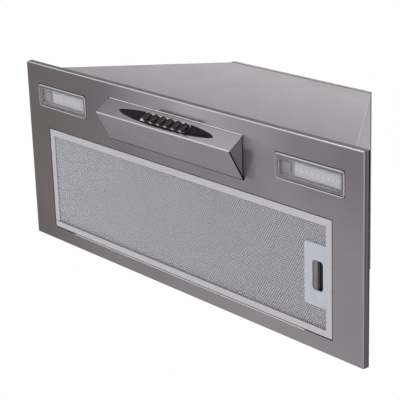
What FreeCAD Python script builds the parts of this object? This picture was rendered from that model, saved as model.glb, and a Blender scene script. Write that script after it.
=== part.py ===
import FreeCAD, Part
import math
import os

Vector = FreeCAD.Vector

# A built-in range hood, in millimetres, as it hangs in its cabinet: +Z up, the cook's side at -Y.
# The origin is the middle of the seat plane, where the rim meets the underside of the cabinet.

# Faceplate: one sheet with a rim folded up all round
plate_width = 700.0
plate_depth = 272.0
rim_height = 10.6
plate_sheet = 0.8
rim_bend = 1.5

# Filter opening, with its two long edges folded up and out under the cross rails
opening_side_margin = 50.7
opening_front_margin = 94.4
opening_rear_margin = 20.6
return_flange = 8.0
return_inset = 50.0

# Housing: four panels standing in the rim, under a folded cover
panel_sheet = 0.8
panel_setback = 9.0
foot_margin = 25.2
roof_width = 277.2
body_height = 224.0
rim_clearance = 0.2
side_fold = 14.0
weld_flange = 14.0
weld_flange_stop = 3.0
lip_drop = 4.5
lip_clearance = 0.2

# Screw holes in the side flanges, for the cabinet floor
cabinet_hole_radius = 2.4
cabinet_hole_inset_x = 13.0
cabinet_hole_inset_y = 26.2

# Cross rails on the folded edges of the opening
rail_sheet = 1.0
rail_width = 9.4
rail_height = 14.0
rail_clearance = 0.5
rail_screw_inset = 79.3

# Control ridge: a folded sheet prism on the lower face of the plate
ridge_length = 283.7
ridge_margin = 20.6
ridge_front_run = 16.6
ridge_rear_run = 43.3
ridge_drop = 23.7
ridge_bend = 1.2
ridge_end_inset = 1.2
ridge_end_gap = 0.7
ridge_hem_radius = 0.8
face_centre = 15.2

# Bezel, silver surround and push-buttons on the ridge's front face
bezel_centre_x = -2.0
bezel_length = 199.0
bezel_width = 19.4
bezel_base = 1.0
bezel_crown = 0.8
bezel_step = 1.1
bezel_fullness_share = 1.2
button_count = 6
button_pitch = 15.75
button_row_centre = 4.3
button_radius = 6.6
button_proud = 2.2
button_skirt = 2.6
button_edge = 1.0
button_travel = 3.0
button_clearance = 0.4
surround_width = 16.0
surround_sheet = 0.6
surround_ring = 0.9
surround_tail = 2.6

# Switch block behind the buttons
stem_radius = 2.4
stem_length = 11.0
stem_clearance = 0.3
switch_gap = 0.6
switch_depth = 20.0
switch_width = 15.0
switch_end = 9.0
window_lead = 12.4
window_reach = 18.4
window_gap = 0.5
bracket_sheet = 1.0
bracket_foot = 11.0
bracket_rise = 8.0

# Lamps: clear cover, box above it, board and terminal
lamp_place_share = 0.5676
lamp_setback = 46.7
lens_length = 118.5
lens_width = 33.0
lens_rim = 1.3
lens_corner = 5.0
lens_edge = 0.5
tub_length = 107.0
tub_width = 22.4
tub_depth = 4.0
tub_wall = 1.2
tub_corner = 2.4
pane = 1.4
tub_clearance = 0.4
lamp_box_wall = 1.0
lamp_box_margin = 2.4
board_sheet = 1.6
board_length = 81.0
board_width = 18.6
chip_count = 9
chip_length = 3.4
chip_width = 2.8
chip_height = 0.7
chip_gap = 0.5
terminal_length = 14.0
terminal_width = 12.0
terminal_height = 2.4
lamp_end_gap = 1.4

# Grease filter: channel frame round two mesh sheets and a folded core
filter_end_gap = 1.7
filter_side_gap = 1.5
filter_depth = 9.0
filter_recess = 0.2
filter_sheet = 0.8
filter_border = 9.8
mesh_sheet = 0.8
mesh_gap = 0.4
core_sheet = 0.7
core_folds = 52
tongue_width = 14.0
tongue_length = 9.4
tongue_sheet = 1.0
tongue_setback = 27.0
seat_gap = 0.3

# Filter latch: pale plate, pocket, sprung slider and keeper
latch_plate_length = 37.4
latch_plate_width = 81.6
latch_plate_sheet = 1.0
latch_plate_corner = 4.0
finger_length = 19.0
finger_width = 39.0
finger_corner = 5.0
finger_margin = 4.8
cup_margin = 2.0
cup_width = 59.0
cup_wall = 1.2
cup_height = 6.0
slider_play = 0.4
slider_sheet = 1.6
slider_length = 23.8
slider_width = 55.0
slider_bridge = 4.0
grip_length = 9.7
grip_width = 42.0
grip_gap = 0.5
bolt_width = 16.0
bolt_reach = 6.3
bolt_bevel = 1.0
latch_travel = 5.0
keeper_reach = 3.6
keeper_sheet = 0.8
keeper_width = 24.0
keeper_foot = 12.0
spring_sheet = 0.5
spring_reach = 17.0

# Blower: spiral casing round a double-inlet wheel, with its outlet under the roof
casing_room_share = 0.2789
casing_sheet = 1.0
casing_width = 130.0
spiral_start = 71.0
spiral_end = 110.0
inlet_radius = 54.0
inlet_lip = 6.5
inlet_flare = 3.0
wheel_radius = 65.0
wheel_width = 114.0
wheel_ring = 2.0
wheel_disc = 1.4
blade_count = 36
blade_depth = 8.5
blade_sheet = 0.9
blade_lead_angle = 8.0
blade_camber = 1.4
hub_radius = 9.0
hub_length = 18.0
gasket_height = 3.0
gasket_border = 5.0
hanger_sheet = 1.2
hanger_width = 20.0
hanger_drop = 28.0
hanger_foot = 16.0
hanger_inset = 20.0

# Motor in the right-hand half of the wheel
shaft_radius = 4.0
shaft_tail = 12.0
shaft_fit = 0.05
motor_radius = 38.0
motor_start = 16.0
motor_length = 56.0
motor_cap = 9.0
motor_boss_radius = 11.0
motor_boss = 4.0
motor_edge = 3.0
spider_band = 3.0
spider_fit = 0.1
spider_depth = 10.0
spider_arms = 3
arm_width = 12.0
arm_sheet = 2.5
arm_radius = 69.5
grommet_radius = 5.0
grommet_height = 3.0
grommet_circle = 63.5

# Duct collar with two non-return flaps
duct_radius = 60.0
duct_wall = 1.5
duct_length = 40.0
roof_hole_radius = 53.0
collar_flange_radius = 76.0
collar_flange = 1.2
flap_height = 12.5
flap_sheet = 1.2
flap_gap = 0.9
flap_hinge_offset = 3.0
flap_barrel = 2.0
flap_pin = 1.5
flap_pin_length = 2.8
flap_pin_fit = 0.06
flap_notch = 10.5
pad_width = 16.0
pad_height = 8.0
pad_depth = 3.3
pad_play = 0.6
seat_ledge = 3.5
seat_ledge_sheet = 1.5

# Electrical pieces under the roof and behind the front panel
capacitor_radius = 15.0
capacitor_length = 60.0
capacitor_gap = 13.7
capacitor_setback = 20.0
terminal_tab_length = 8.0
terminal_tab_width = 6.3
terminal_tab_sheet = 0.8
terminal_tab_offset = 6.0
clip_sheet = 0.8
clip_width = 12.0
clip_fit = 0.1
driver_length = 90.0
driver_depth = 22.0
driver_height = 24.0
driver_setback = 43.7
driver_base_z = 12.0
driver_edge = 1.4
driver_ear = 9.0
driver_ear_sheet = 2.0
terminal_box_length = 40.0
terminal_box_width = 56.0
terminal_box_height = 25.0
terminal_box_wall = 1.5
terminal_gap = 0.6
gland_setback = 51.2
gland_bore = 4.0
gland_shank_radius = 6.1
gland_shank = 10.0
gland_head_radius = 10.0
gland_head = 6.0
gland_clearance = 0.2

# Pan-head screws
screw_radius = 1.8
screw_clearance = 0.3
screw_head_radius = 3.6
screw_head = 2.2
screw_head_edge = 0.8
screw_grip = 7.0
roof_screw_inset = 36.2
roof_screw_rows = 3
collar_screws = 4
collar_screw_circle = 69.0

# One length by which every cutting tool runs past what it cuts
overrun = 1.0

# Places that follow from the sizes above
plate_low = -rim_height
plate_top = plate_low + plate_sheet
half_width = plate_width / 2
half_depth = plate_depth / 2
opening_half = half_width - opening_side_margin
opening_front = opening_front_margin - half_depth
opening_rear = half_depth - opening_rear_margin
opening_depth = opening_rear - opening_front
opening_centre_y = (opening_front + opening_rear) / 2
foot_width = plate_width - 2 * foot_margin
lamp_offset_x = ridge_length / 2 + (half_width - ridge_length / 2) * lamp_place_share
lamp_centre_y = lamp_setback - half_depth
panel_face_y = half_depth - panel_setback
panel_back_y = panel_face_y - panel_sheet
rim_inside_x = half_width - plate_sheet - rim_clearance
rim_inside_y = half_depth - plate_sheet - rim_clearance
roof_under = body_height - panel_sheet
slope = (foot_width - roof_width) / 2 / roof_under
slant_sheet = panel_sheet * math.hypot(1, slope)
screw_hole_radius = screw_radius + screw_clearance
casing_top = roof_under - gasket_height
casing_above = spiral_start + casing_sheet
casing_front = casing_above + (spiral_end - spiral_start) / 3
casing_below = casing_above + 2 * (spiral_end - spiral_start) / 3
casing_rear = spiral_end + casing_sheet
casing_low = (casing_top - casing_above - casing_below) * casing_room_share
fan_axis_z = casing_low + casing_below
fan_axis_y = (casing_front - casing_rear) / 2
X_AXIS = Vector(1, 0, 0)
Y_AXIS = Vector(0, 1, 0)
Z_AXIS = Vector(0, 0, 1)


def wall_x(z):
    """Half-width of the housing's outer face at height z."""
    return foot_width / 2 - slope * z


def box(x, y, z):
    """A block between three (low, high) pairs."""
    return Part.makeBox(x[1] - x[0], y[1] - y[0], z[1] - z[0], Vector(x[0], y[0], z[0]))


def around(centre, length):
    """The (low, high) pair of a length that lies evenly about a centre."""
    return (centre - length / 2, centre + length / 2)


def prism(points, run, axis):
    """A closed outline in the two directions across axis, drawn out between the ends of run."""
    turn = {
        "x": lambda a, b, c: Vector(c, a, b),
        "y": lambda a, b, c: Vector(a, c, b),
        "z": lambda a, b, c: Vector(a, b, c),
    }[axis]
    corners = [turn(a, b, run[0]) for a, b in points]
    face = Part.Face(Part.makePolygon(corners + corners[:1]))
    return face.extrude(turn(0, 0, run[1] - run[0]))


def rod(radius, start, direction, length):
    """A cylinder from a starting point along a direction."""
    return Part.makeCylinder(radius, length, start, direction)


def tube(outer, inner, start, direction, length):
    """A cylinder with a bore right through it."""
    back = start - direction * overrun
    return rod(outer, start, direction, length).cut(rod(inner, back, direction, length + 2 * overrun))


def is_upright(edge):
    """Whether an edge is straight up."""
    return edge.BoundBox.XLength + edge.BoundBox.YLength < edge.BoundBox.ZLength / 2


def rounded_block(x, y, z, radius):
    """A block whose upright edges are rounded."""
    block = box(x, y, z)
    return block.makeFillet(radius, [edge for edge in block.Edges if is_upright(edge)])


def joined(shapes):
    """Shapes fused into one, with the seams between coplanar faces removed."""
    return shapes[0].multiFuse(shapes[1:]).removeSplitter()


def mirrored_x(shape):
    """The same shape on the other side of the middle plane."""
    return shape.mirror(Vector(), X_AXIS)


def meet(p, d, q, e):
    """Where the line through p along d crosses the line through q along e, in a plane."""
    cross = d[0] * e[1] - d[1] * e[0]
    t = ((q[0] - p[0]) * e[1] - (q[1] - p[1]) * e[0]) / cross
    return (p[0] + t * d[0], p[1] + t * d[1])


def screw(point, grip):
    """A pan-head screw whose head stands on point, with its shank going down."""
    head = rod(screw_head_radius, point, Z_AXIS, screw_head)
    rim = [edge for edge in head.Edges if edge.BoundBox.ZMin > point.z + screw_head / 2]
    head = head.makeChamfer(screw_head_edge, rim)
    return head.fuse(rod(screw_radius, point - Z_AXIS * grip, Z_AXIS, grip))


# Faceplate and rails


def lamp_sides():
    """The two lamp centres, left and right."""
    return {"left": -lamp_offset_x, "right": lamp_offset_x}


def rail_screw_places():
    """Where the screws stand that hold the faceplate up to the cross rails."""
    reach = opening_half - rail_screw_inset
    xs = (-reach, 0, reach)
    ys = (opening_front - return_flange / 2, opening_rear + return_flange / 2)
    return [Vector(x, y, rail_sheet) for y in ys for x in xs]


def cut_screw_holes(shape, places):
    """Clearance holes for upright screws at the given places."""
    reach = screw_grip + 2 * overrun
    holes = [rod(screw_hole_radius, p - Z_AXIS * screw_grip, Z_AXIS, reach) for p in places]
    return shape.cut(holes)


def fascia_panel():
    """The stainless faceplate: lower skin, folded rim, and the openings in the skin."""
    skin = box(around(0, plate_width), around(0, plate_depth), (plate_low, 0))
    bends = [edge for edge in skin.Edges if edge.BoundBox.ZMax < plate_low + plate_sheet]
    skin = skin.makeFillet(rim_bend, bends)
    hollow = box(
        around(0, plate_width - 2 * plate_sheet),
        around(0, plate_depth - 2 * plate_sheet),
        (plate_top, overrun),
    )
    skin = skin.cut(hollow)
    through = (plate_low - overrun, plate_top + overrun)
    cuts = [box(around(0, 2 * opening_half), (opening_front, opening_rear), through)]
    for centre in lamp_sides().values():
        size_x = around(centre, tub_length + 2 * tub_clearance)
        size_y = around(lamp_centre_y, tub_width + 2 * tub_clearance)
        cuts.append(box(size_x, size_y, through))
    low, high = switch_ends()
    cuts.append(box((low - window_gap, high + window_gap), window_run(), through))
    skin = skin.cut(cuts)
    fold_x = around(0, 2 * (opening_half - return_inset))
    front_web = box(fold_x, (opening_front - plate_sheet, opening_front), (plate_low, 0))
    front_lip = box(fold_x, (opening_front - return_flange, opening_front), (-plate_sheet, 0))
    rear_web = box(fold_x, (opening_rear, opening_rear + plate_sheet), (plate_low, 0))
    rear_lip = box(fold_x, (opening_rear, opening_rear + return_flange), (-plate_sheet, 0))
    panel = joined([skin, front_web, front_lip, rear_web, rear_lip])
    return cut_screw_holes(panel, rail_screw_places())


def inner_volume():
    """The space between the inner faces of the two sloping sides."""
    half = wall_x(0) - slant_sheet
    top = wall_x(roof_under) - slant_sheet
    outline = [(-half, 0), (half, 0), (top, roof_under), (-top, roof_under)]
    return prism(outline, around(0, plate_depth), "y")


def cross_rail(edge_y, side):
    """An angle rail on one folded edge of the opening, cut to the side panels and clear of the blower."""
    far = edge_y + side * rail_width
    back = far - side * rail_sheet
    span = around(0, foot_width)
    foot = box(span, sorted((edge_y, far)), (0, rail_sheet))
    web = box(span, sorted((back, far)), (0, rail_height))
    grow = casing_sheet + rail_clearance
    room = spiral_region(grow, around(0, casing_width + 2 * grow), casing_top)
    rail = foot.fuse(web).common(inner_volume()).removeSplitter().cut(room)
    return cut_screw_holes(rail, rail_screw_places())


def fascia_screws():
    """The screws that hold the faceplate up to the cross rails."""
    return Part.makeCompound([screw(place, screw_grip) for place in rail_screw_places()])


# Housing


def housing_front():
    """The front panel: a trapezoid with its foot folded forward into the rim."""
    foot = foot_width / 2
    top = wall_x(roof_under)
    outline = [(-foot, -panel_sheet), (foot, -panel_sheet), (foot, 0)]
    outline += [(top, roof_under), (-top, roof_under), (-foot, 0)]
    wall = prism(outline, (-panel_face_y, -panel_back_y), "y")
    foot_flange = box(around(0, foot_width), (-rim_inside_y, -panel_back_y), (-panel_sheet, 0))
    return wall.fuse(foot_flange).removeSplitter()


def housing_rear():
    """The rear panel, a mirror image of the front one."""
    return housing_front().mirror(Vector(), Y_AXIS)


def cabinet_holes():
    """The four screw holes for the cabinet floor."""
    xs = around(0, 2 * (half_width - cabinet_hole_inset_x))
    ys = around(0, 2 * (panel_back_y - cabinet_hole_inset_y))
    start = -panel_sheet - overrun
    length = panel_sheet + 2 * overrun
    return [rod(cabinet_hole_radius, Vector(x, y, start), Z_AXIS, length) for x in xs for y in ys]


def housing_side_right():
    """The sloping right-hand panel: foot folded out, top and both ends folded in."""
    fold_end = wall_x(roof_under) - side_fold
    fold_low = roof_under - panel_sheet
    outline = [(rim_inside_x, 0), (foot_width / 2, 0), (wall_x(roof_under), roof_under)]
    outline += [(fold_end, roof_under), (fold_end, fold_low)]
    outline += [(wall_x(fold_low) - slant_sheet, fold_low)]
    outline += [(wall_x(-panel_sheet) - slant_sheet, -panel_sheet), (rim_inside_x, -panel_sheet)]
    wall = prism(outline, (-panel_back_y, panel_back_y), "y")
    low = weld_flange_stop
    high = roof_under - weld_flange_stop
    skin = slant_sheet / 2
    flange = [(wall_x(low) - skin, low), (wall_x(high) - skin, high)]
    flange += [(wall_x(high) - weld_flange, high), (wall_x(low) - weld_flange, low)]
    ends = [
        prism(flange, (-panel_back_y, -panel_back_y + panel_sheet), "y"),
        prism(flange, (panel_back_y - panel_sheet, panel_back_y), "y"),
    ]
    side = joined([wall] + ends).cut(cabinet_holes())
    return cut_screw_holes(side, roof_screw_places())


def housing_side_left():
    """The left-hand panel, a mirror image of the right-hand one."""
    return mirrored_x(housing_side_right())


def roof_screw_places():
    """Screw places along the two sides of the roof."""
    x = wall_x(roof_under) - side_fold / 2
    reach = panel_back_y - roof_screw_inset
    step = 2 * reach / (roof_screw_rows - 1)
    ys = [row * step - reach for row in range(roof_screw_rows)]
    return [Vector(side * x, y, body_height) for side in (-1, 1) for y in ys]


def hanger_places():
    """The middle of each blower hanger's foot, on the underside of the roof."""
    x = casing_width / 2 + casing_sheet + hanger_foot / 2
    ys = (fan_axis_y + hanger_inset, fan_axis_y + spiral_end - hanger_inset)
    return [(side, y, Vector(side * x, y, body_height)) for side in (-1, 1) for y in ys]


def collar_screw_places():
    """Screw places round the flange of the duct collar."""
    turn = 2 * math.pi / collar_screws
    angles = [turn * (n + 1 / 2) for n in range(collar_screws)]
    top = body_height + collar_flange
    reach = collar_screw_circle
    return [
        Vector(reach * math.cos(a), duct_centre_y() + reach * math.sin(a), top) for a in angles
    ]


def roof_screws():
    """All the like screws on the roof: cover, blower hangers and duct collar."""
    places = roof_screw_places() + [place for side, y, place in hanger_places()]
    places += collar_screw_places()
    return Part.makeCompound([screw(place, screw_grip) for place in places])


def top_cover():
    """The roof sheet, with a lip folded down over each panel."""
    gap = lip_clearance * math.hypot(1, slope)
    half = wall_x(roof_under) + gap + slant_sheet
    lip_low = body_height - lip_drop
    out_y = panel_face_y + lip_clearance + panel_sheet
    sheets = [box(around(0, 2 * half), around(0, 2 * out_y), (roof_under, body_height))]
    for side in (-1, 1):
        run = sorted((side * out_y, side * (out_y - panel_sheet)))
        sheets.append(box(around(0, 2 * half), run, (lip_low, body_height)))
        inner = wall_x(lip_low) + gap
        lip = [(side * (half - slant_sheet), roof_under), (side * half, roof_under)]
        lip += [(side * (inner + slant_sheet), lip_low), (side * inner, lip_low)]
        sheets.append(prism(lip, around(0, 2 * out_y), "y"))
    cover = joined(sheets)
    deep = 2 * overrun + panel_sheet
    hole = Vector(0, duct_centre_y(), roof_under - overrun)
    entry = Vector(gland_x, gland_y, roof_under - overrun)
    cover = cover.cut(rod(roof_hole_radius, hole, Z_AXIS, deep))
    cover = cover.cut(rod(gland_shank_radius + gland_clearance, entry, Z_AXIS, deep))
    places = roof_screw_places() + [place for side, y, place in hanger_places()]
    return cut_screw_holes(cover, places + collar_screw_places())


# Control ridge and buttons


def ridge_corners():
    """The ridge's outline across its length: front edge, crest and rear edge."""
    front = (ridge_margin - half_depth, plate_low)
    crest = (front[0] + ridge_front_run, plate_low - ridge_drop)
    rear = (crest[0] + ridge_rear_run, plate_low)
    return front, crest, rear


def offset_line(start, end, distance):
    """A point and a direction of the line from start to end, moved in from the ridge's outside."""
    dy, dz = end[0] - start[0], end[1] - start[1]
    size = math.hypot(dy, dz)
    return (start[0] - dz / size * distance, start[1] + dy / size * distance), (dy, dz)


def ridge_inner(distance):
    """The ridge's outline moved in by a distance, still standing on the plate."""
    front, crest, rear = ridge_corners()
    p, d = offset_line(front, crest, distance)
    q, e = offset_line(crest, rear, distance)
    level = (1, 0)
    return meet(p, d, front, level), meet(p, d, q, e), meet(q, e, front, level)


def face_tilt():
    """The turn about X that lays a flat drawing on the ridge's front face, in degrees."""
    return 180 - math.degrees(math.atan2(ridge_drop, ridge_front_run))


def on_ridge(shape):
    """A shape drawn with its face outwards along +Z, laid on the ridge's front face."""
    front = ridge_corners()[0]
    size = math.hypot(ridge_front_run, ridge_drop)
    share = face_centre / size
    origin = Vector(0, front[0] + ridge_front_run * share, front[1] - ridge_drop * share)
    return shape.rotated(Vector(), X_AXIS, face_tilt()).translated(origin)


def button_places():
    """The buttons' centres along the ridge."""
    first = button_row_centre - button_pitch * (button_count - 1) / 2
    return [first + button_pitch * n for n in range(button_count)]


def switch_ends():
    """The two ends of the switch block along the ridge."""
    places = button_places()
    return places[0] - switch_end, places[-1] + switch_end


def window_run():
    """The window in the plate through which the switch block reaches, front to rear."""
    front = ridge_corners()[0][0]
    return (front + window_lead, front + window_lead + window_reach)


def control_ridge():
    """The folded sheet prism, with a hem along its front foot and a slot behind the buttons."""
    front, crest, rear = ridge_corners()
    inner_front, inner_crest, inner_rear = ridge_inner(plate_sheet)
    outline = [front, crest, rear, inner_rear, inner_crest, inner_front]
    ridge = prism(outline, around(0, ridge_length), "x")
    bend = [edge for edge in ridge.Edges if edge.BoundBox.ZMax < crest[1] + plate_sheet / 2]
    bend = [edge for edge in bend if edge.BoundBox.XLength > ridge_length / 2]
    ridge = ridge.makeFillet(ridge_bend, bend)
    hem_start = Vector(-ridge_length / 2, front[0], plate_low - ridge_hem_radius)
    ridge = ridge.fuse(rod(ridge_hem_radius, hem_start, X_AXIS, ridge_length))
    places = button_places()
    reach = button_radius + button_clearance + stem_clearance
    slot = box((places[0] - reach, places[-1] + reach), around(0, 2 * reach), around(0, 4 * plate_sheet))
    return ridge.cut(on_ridge(slot))


def ridge_end_right():
    """The triangular plate that closes the ridge's right-hand end, set in, with a gap to the folded sheet."""
    outside = ridge_length / 2 - ridge_end_inset
    return prism(ridge_inner(plate_sheet + ridge_end_gap), (outside - plate_sheet, outside), "x")


def ridge_end_left():
    """The plate at the left-hand end."""
    return mirrored_x(ridge_end_right())


def bezel_layer(length, width, z):
    """One flat layer of the bezel: a long lens whose ends come to a point."""
    steps = 12
    turns = [math.pi * (1 - n / steps) for n in range(steps + 1)]
    upper = []
    for turn in turns:
        rise = math.sin(turn) ** bezel_fullness_share if 0 < turn < math.pi else 0
        upper.append(Vector(bezel_centre_x + length / 2 * math.cos(turn), width / 2 * rise, z[0]))
    lower = [Vector(point.x, -point.y, point.z) for point in reversed(upper)]
    sides = []
    for points in (upper, lower):
        curve = Part.BSplineCurve()
        curve.interpolate(points)
        sides.append(curve.toShape())
    return Part.Face(Part.Wire(sides)).extrude(Vector(0, 0, z[1] - z[0]))


def button_bores(radius, low, high):
    """A cutting cylinder for each button."""
    return [rod(radius, Vector(x, 0, low), Z_AXIS, high - low) for x in button_places()]


def control_bezel():
    """The black lens-shaped moulding: a base layer and a smaller crown layer."""
    top = bezel_base + bezel_crown
    base = bezel_layer(bezel_length, bezel_width, (0, bezel_base))
    crown_width = bezel_width - 2 * bezel_step
    crown = bezel_layer(bezel_length - bezel_width * bezel_step, crown_width, (bezel_base, top))
    bores = button_bores(button_radius + button_clearance, -overrun, top + overrun)
    return on_ridge(base.fuse(crown).cut(bores))


def button_surround():
    """The silver strip that fills the gaps between the round buttons."""
    places = button_places()
    low = bezel_base + bezel_crown
    high = low + surround_sheet
    bore = button_radius + button_clearance
    start = places[0] - button_pitch / 2 - surround_tail
    strip = box((start, places[-1]), around(0, surround_width), (low, high))
    cap = rod(bore + surround_ring, Vector(places[-1], 0, low), Z_AXIS, surround_sheet)
    cuts = button_bores(bore, low - overrun, high + overrun)
    ghost = Vector(places[0] - button_pitch, 0, low - overrun)
    cuts.append(rod(bore, ghost, Z_AXIS, surround_sheet + 2 * overrun))
    return on_ridge(strip.fuse(cap).removeSplitter().cut(cuts))


def push_button(x):
    """One round push-button: cap, skirt and the stem that reaches into the switch."""
    surround_top = bezel_base + bezel_crown + surround_sheet
    top = surround_top + button_proud
    low = -button_skirt + bezel_base + bezel_crown
    cap = rod(button_radius, Vector(x, 0, low), Z_AXIS, top - low)
    rim = [edge for edge in cap.Edges if edge.BoundBox.ZMin > top - overrun]
    cap = cap.makeFillet(button_edge, rim)
    stem = rod(stem_radius, Vector(x, 0, low - stem_length), Z_AXIS, stem_length)
    return on_ridge(cap.fuse(stem).removeSplitter())


def switch_block():
    """The six-key switch that the stems press, in the hollow of the ridge."""
    low = -button_skirt + bezel_base + bezel_crown
    face = low - button_travel - switch_gap
    block = box(switch_ends(), around(0, switch_width), (face - switch_depth, face))
    depth = low - stem_length - button_travel - switch_gap
    return on_ridge(block.cut(button_bores(stem_radius + stem_clearance, depth, face + overrun)))


def switch_brackets():
    """Two angle brackets that hold the switch block's ends down to the plate."""
    low, high = switch_ends()
    front, rear = window_run()
    pair = []
    for end, side in ((low, -1), (high, 1)):
        web = box(
            sorted((end, end + side * bracket_sheet)), (front, rear), (plate_top, plate_top + bracket_rise)
        )
        foot = box(
            sorted((end + side * window_gap, end + side * bracket_foot)),
            (front, rear),
            (plate_top, plate_top + bracket_sheet),
        )
        pair.append(web.fuse(foot).removeSplitter())
    return Part.makeCompound(pair)


# Lamps


def lamp_lens(centre):
    """The clear lamp cover: a flat rim with a softened edge, round a recessed window."""
    rim_z = (plate_low - lens_rim, plate_low)
    rim = rounded_block(
        around(centre, lens_length), around(lamp_centre_y, lens_width), rim_z, lens_corner
    )
    edges = [edge for edge in rim.Edges if edge.BoundBox.ZMax < plate_low - lens_rim / 2]
    rim = rim.makeFillet(lens_edge, edges)
    top = plate_low + tub_depth
    tub = rounded_block(
        around(centre, tub_length), around(lamp_centre_y, tub_width), (plate_low, top), tub_corner
    )
    recess = rounded_block(
        around(centre, tub_length - 2 * tub_wall),
        around(lamp_centre_y, tub_width - 2 * tub_wall),
        (rim_z[0] - overrun, top - pane),
        tub_corner - tub_wall,
    )
    return rim.fuse(tub).cut(recess)


def board_low():
    """The height of the lamp board's lower face, just above the lens's window."""
    return plate_low + tub_depth + chip_gap + chip_height


def lamp_housing(centre):
    """The open-bottomed box over a lamp."""
    length = tub_length + 2 * lamp_box_margin
    width = tub_width + 2 * lamp_box_margin
    ceiling = board_low() + board_sheet
    outer = box(around(centre, length), around(lamp_centre_y, width), (plate_top, ceiling + lamp_box_wall))
    inner = box(
        around(centre, length - 2 * lamp_box_wall),
        around(lamp_centre_y, width - 2 * lamp_box_wall),
        (plate_top - overrun, ceiling),
    )
    return outer.cut(inner)


def led_board(centre):
    """The white lamp board, with its row of light chips facing down."""
    low = board_low()
    end = centre + tub_length / 2 - tub_wall - lamp_end_gap
    board = box((end - board_length, end), around(lamp_centre_y, board_width), (low, low + board_sheet))
    step = board_length / chip_count
    pieces = [board]
    for n in range(chip_count):
        place = end - board_length + step * (n + 1 / 2)
        chip_y = around(lamp_centre_y, chip_width)
        pieces.append(box(around(place, chip_length), chip_y, (low - chip_height, low)))
    return joined(pieces)


def lamp_terminal(centre):
    """The connector block at the left-hand end of a lamp."""
    start = centre - tub_length / 2 + tub_wall + lamp_end_gap
    ceiling = board_low() + board_sheet
    size_y = around(lamp_centre_y, terminal_width)
    return box((start, start + terminal_length), size_y, (ceiling - terminal_height, ceiling))


# Grease filter

filter_half = opening_half - filter_end_gap
filter_side = opening_depth / 2 - filter_side_gap
filter_low = plate_low + filter_recess
filter_top = filter_low + filter_depth
latch_x = (filter_half - filter_border - latch_plate_length, filter_half - filter_border)
cup_x = (latch_x[0] + cup_margin, latch_x[1] - slider_play)
cup_y = around(opening_centre_y, cup_width)
cup_low = filter_low + filter_sheet
slider_top = cup_low + cup_height - cup_wall - slider_play
slider_low = slider_top - slider_sheet
slider_x = (cup_x[1] - cup_wall - slider_play - slider_length, cup_x[1] - cup_wall - slider_play)


def filter_slab(inset, z):
    """A slab as large as the filter, drawn in by an inset on all four sides."""
    size_x = around(0, 2 * (filter_half - inset))
    size_y = around(opening_centre_y, 2 * (filter_side - inset))
    return box(size_x, size_y, z)


def bolt_slot(play):
    """The straight path of the latch bolt through the right-hand end of the filter."""
    size_y = around(opening_centre_y, bolt_width + 2 * play)
    return box((slider_x[1], filter_half + overrun), size_y, (slider_low - play, slider_top + play))


def filter_frame():
    """The aluminium channel frame, with two tongues that rest on the plate at its left-hand end."""
    frame = filter_slab(0, (filter_low, filter_top))
    frame = frame.cut(filter_slab(filter_border, (filter_low - overrun, filter_top + overrun)))
    frame = frame.cut(filter_slab(filter_sheet, (filter_low + filter_sheet, filter_top - filter_sheet)))
    frame = frame.cut(bolt_slot(slider_play))
    low = plate_top + seat_gap
    tongues = []
    for centre in around(opening_centre_y, 2 * (filter_side - tongue_setback)):
        size_y = around(centre, tongue_width)
        size_x = (-filter_half - tongue_length, -filter_half + filter_sheet)
        tongues.append(box(size_x, size_y, (low, low + tongue_sheet)))
    return joined([frame] + tongues)


def latch_pocket():
    """The space in the filter pack that the latch cup and its bolt take."""
    room = box(
        (cup_x[0] - mesh_gap, cup_x[1] + mesh_gap),
        (cup_y[0] - mesh_gap, cup_y[1] + mesh_gap),
        (cup_low - overrun, cup_low + cup_height + mesh_gap),
    )
    return room.fuse(bolt_slot(slider_play + mesh_gap))


def filter_sheet_at(low):
    """One mesh sheet of the filter, as a flat sheet."""
    inset = filter_sheet + mesh_gap
    return filter_slab(inset, (low, low + mesh_sheet)).cut(latch_pocket())


def filter_mesh_front():
    """The mesh sheet that shows, on the lower flange of the frame."""
    return filter_sheet_at(filter_low + filter_sheet)


def filter_mesh_rear():
    """The mesh sheet on the upper side."""
    return filter_sheet_at(filter_top - filter_sheet - mesh_sheet)


def filter_core():
    """The folded inner layer that keeps the two mesh sheets apart."""
    half = filter_half - filter_sheet - mesh_gap
    low = filter_low + filter_sheet + mesh_sheet
    high = filter_top - filter_sheet - mesh_sheet - core_sheet
    step = half / core_folds
    ridge_line = [(step * n - half, (low, high)[n % 2]) for n in range(2 * core_folds + 1)]
    outline = [(x, z + core_sheet) for x, z in ridge_line] + ridge_line[::-1]
    size_y = around(opening_centre_y, 2 * (filter_side - filter_sheet - mesh_gap))
    return prism(outline, size_y, "y").cut(latch_pocket())


def finger_hole(z):
    """The rounded hole for a fingertip in the latch plate."""
    size_x = (latch_x[1] - finger_margin - finger_length, latch_x[1] - finger_margin)
    return rounded_block(size_x, around(opening_centre_y, finger_width), z, finger_corner)


def latch_plate():
    """The pale plate over the latch: its inner corners are rounded, and it has a finger hole."""
    low = cup_low - latch_plate_sheet
    plate = box(latch_x, around(opening_centre_y, latch_plate_width), (low, cup_low))
    middle = (latch_x[0] + latch_x[1]) / 2
    inner = [edge for edge in plate.Edges if is_upright(edge) and edge.BoundBox.XMax < middle]
    plate = plate.makeFillet(latch_plate_corner, inner)
    return plate.cut(finger_hole((low - overrun, cup_low + overrun)))


def latch_cup():
    """The open-bottomed pocket in which the slider runs."""
    outer = box(cup_x, cup_y, (cup_low, cup_low + cup_height))
    inner = box(
        (cup_x[0] + cup_wall, cup_x[1] - cup_wall),
        (cup_y[0] + cup_wall, cup_y[1] - cup_wall),
        (cup_low - overrun, cup_low + cup_height - cup_wall),
    )
    return outer.cut(inner).cut(bolt_slot(slider_play))


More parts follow.
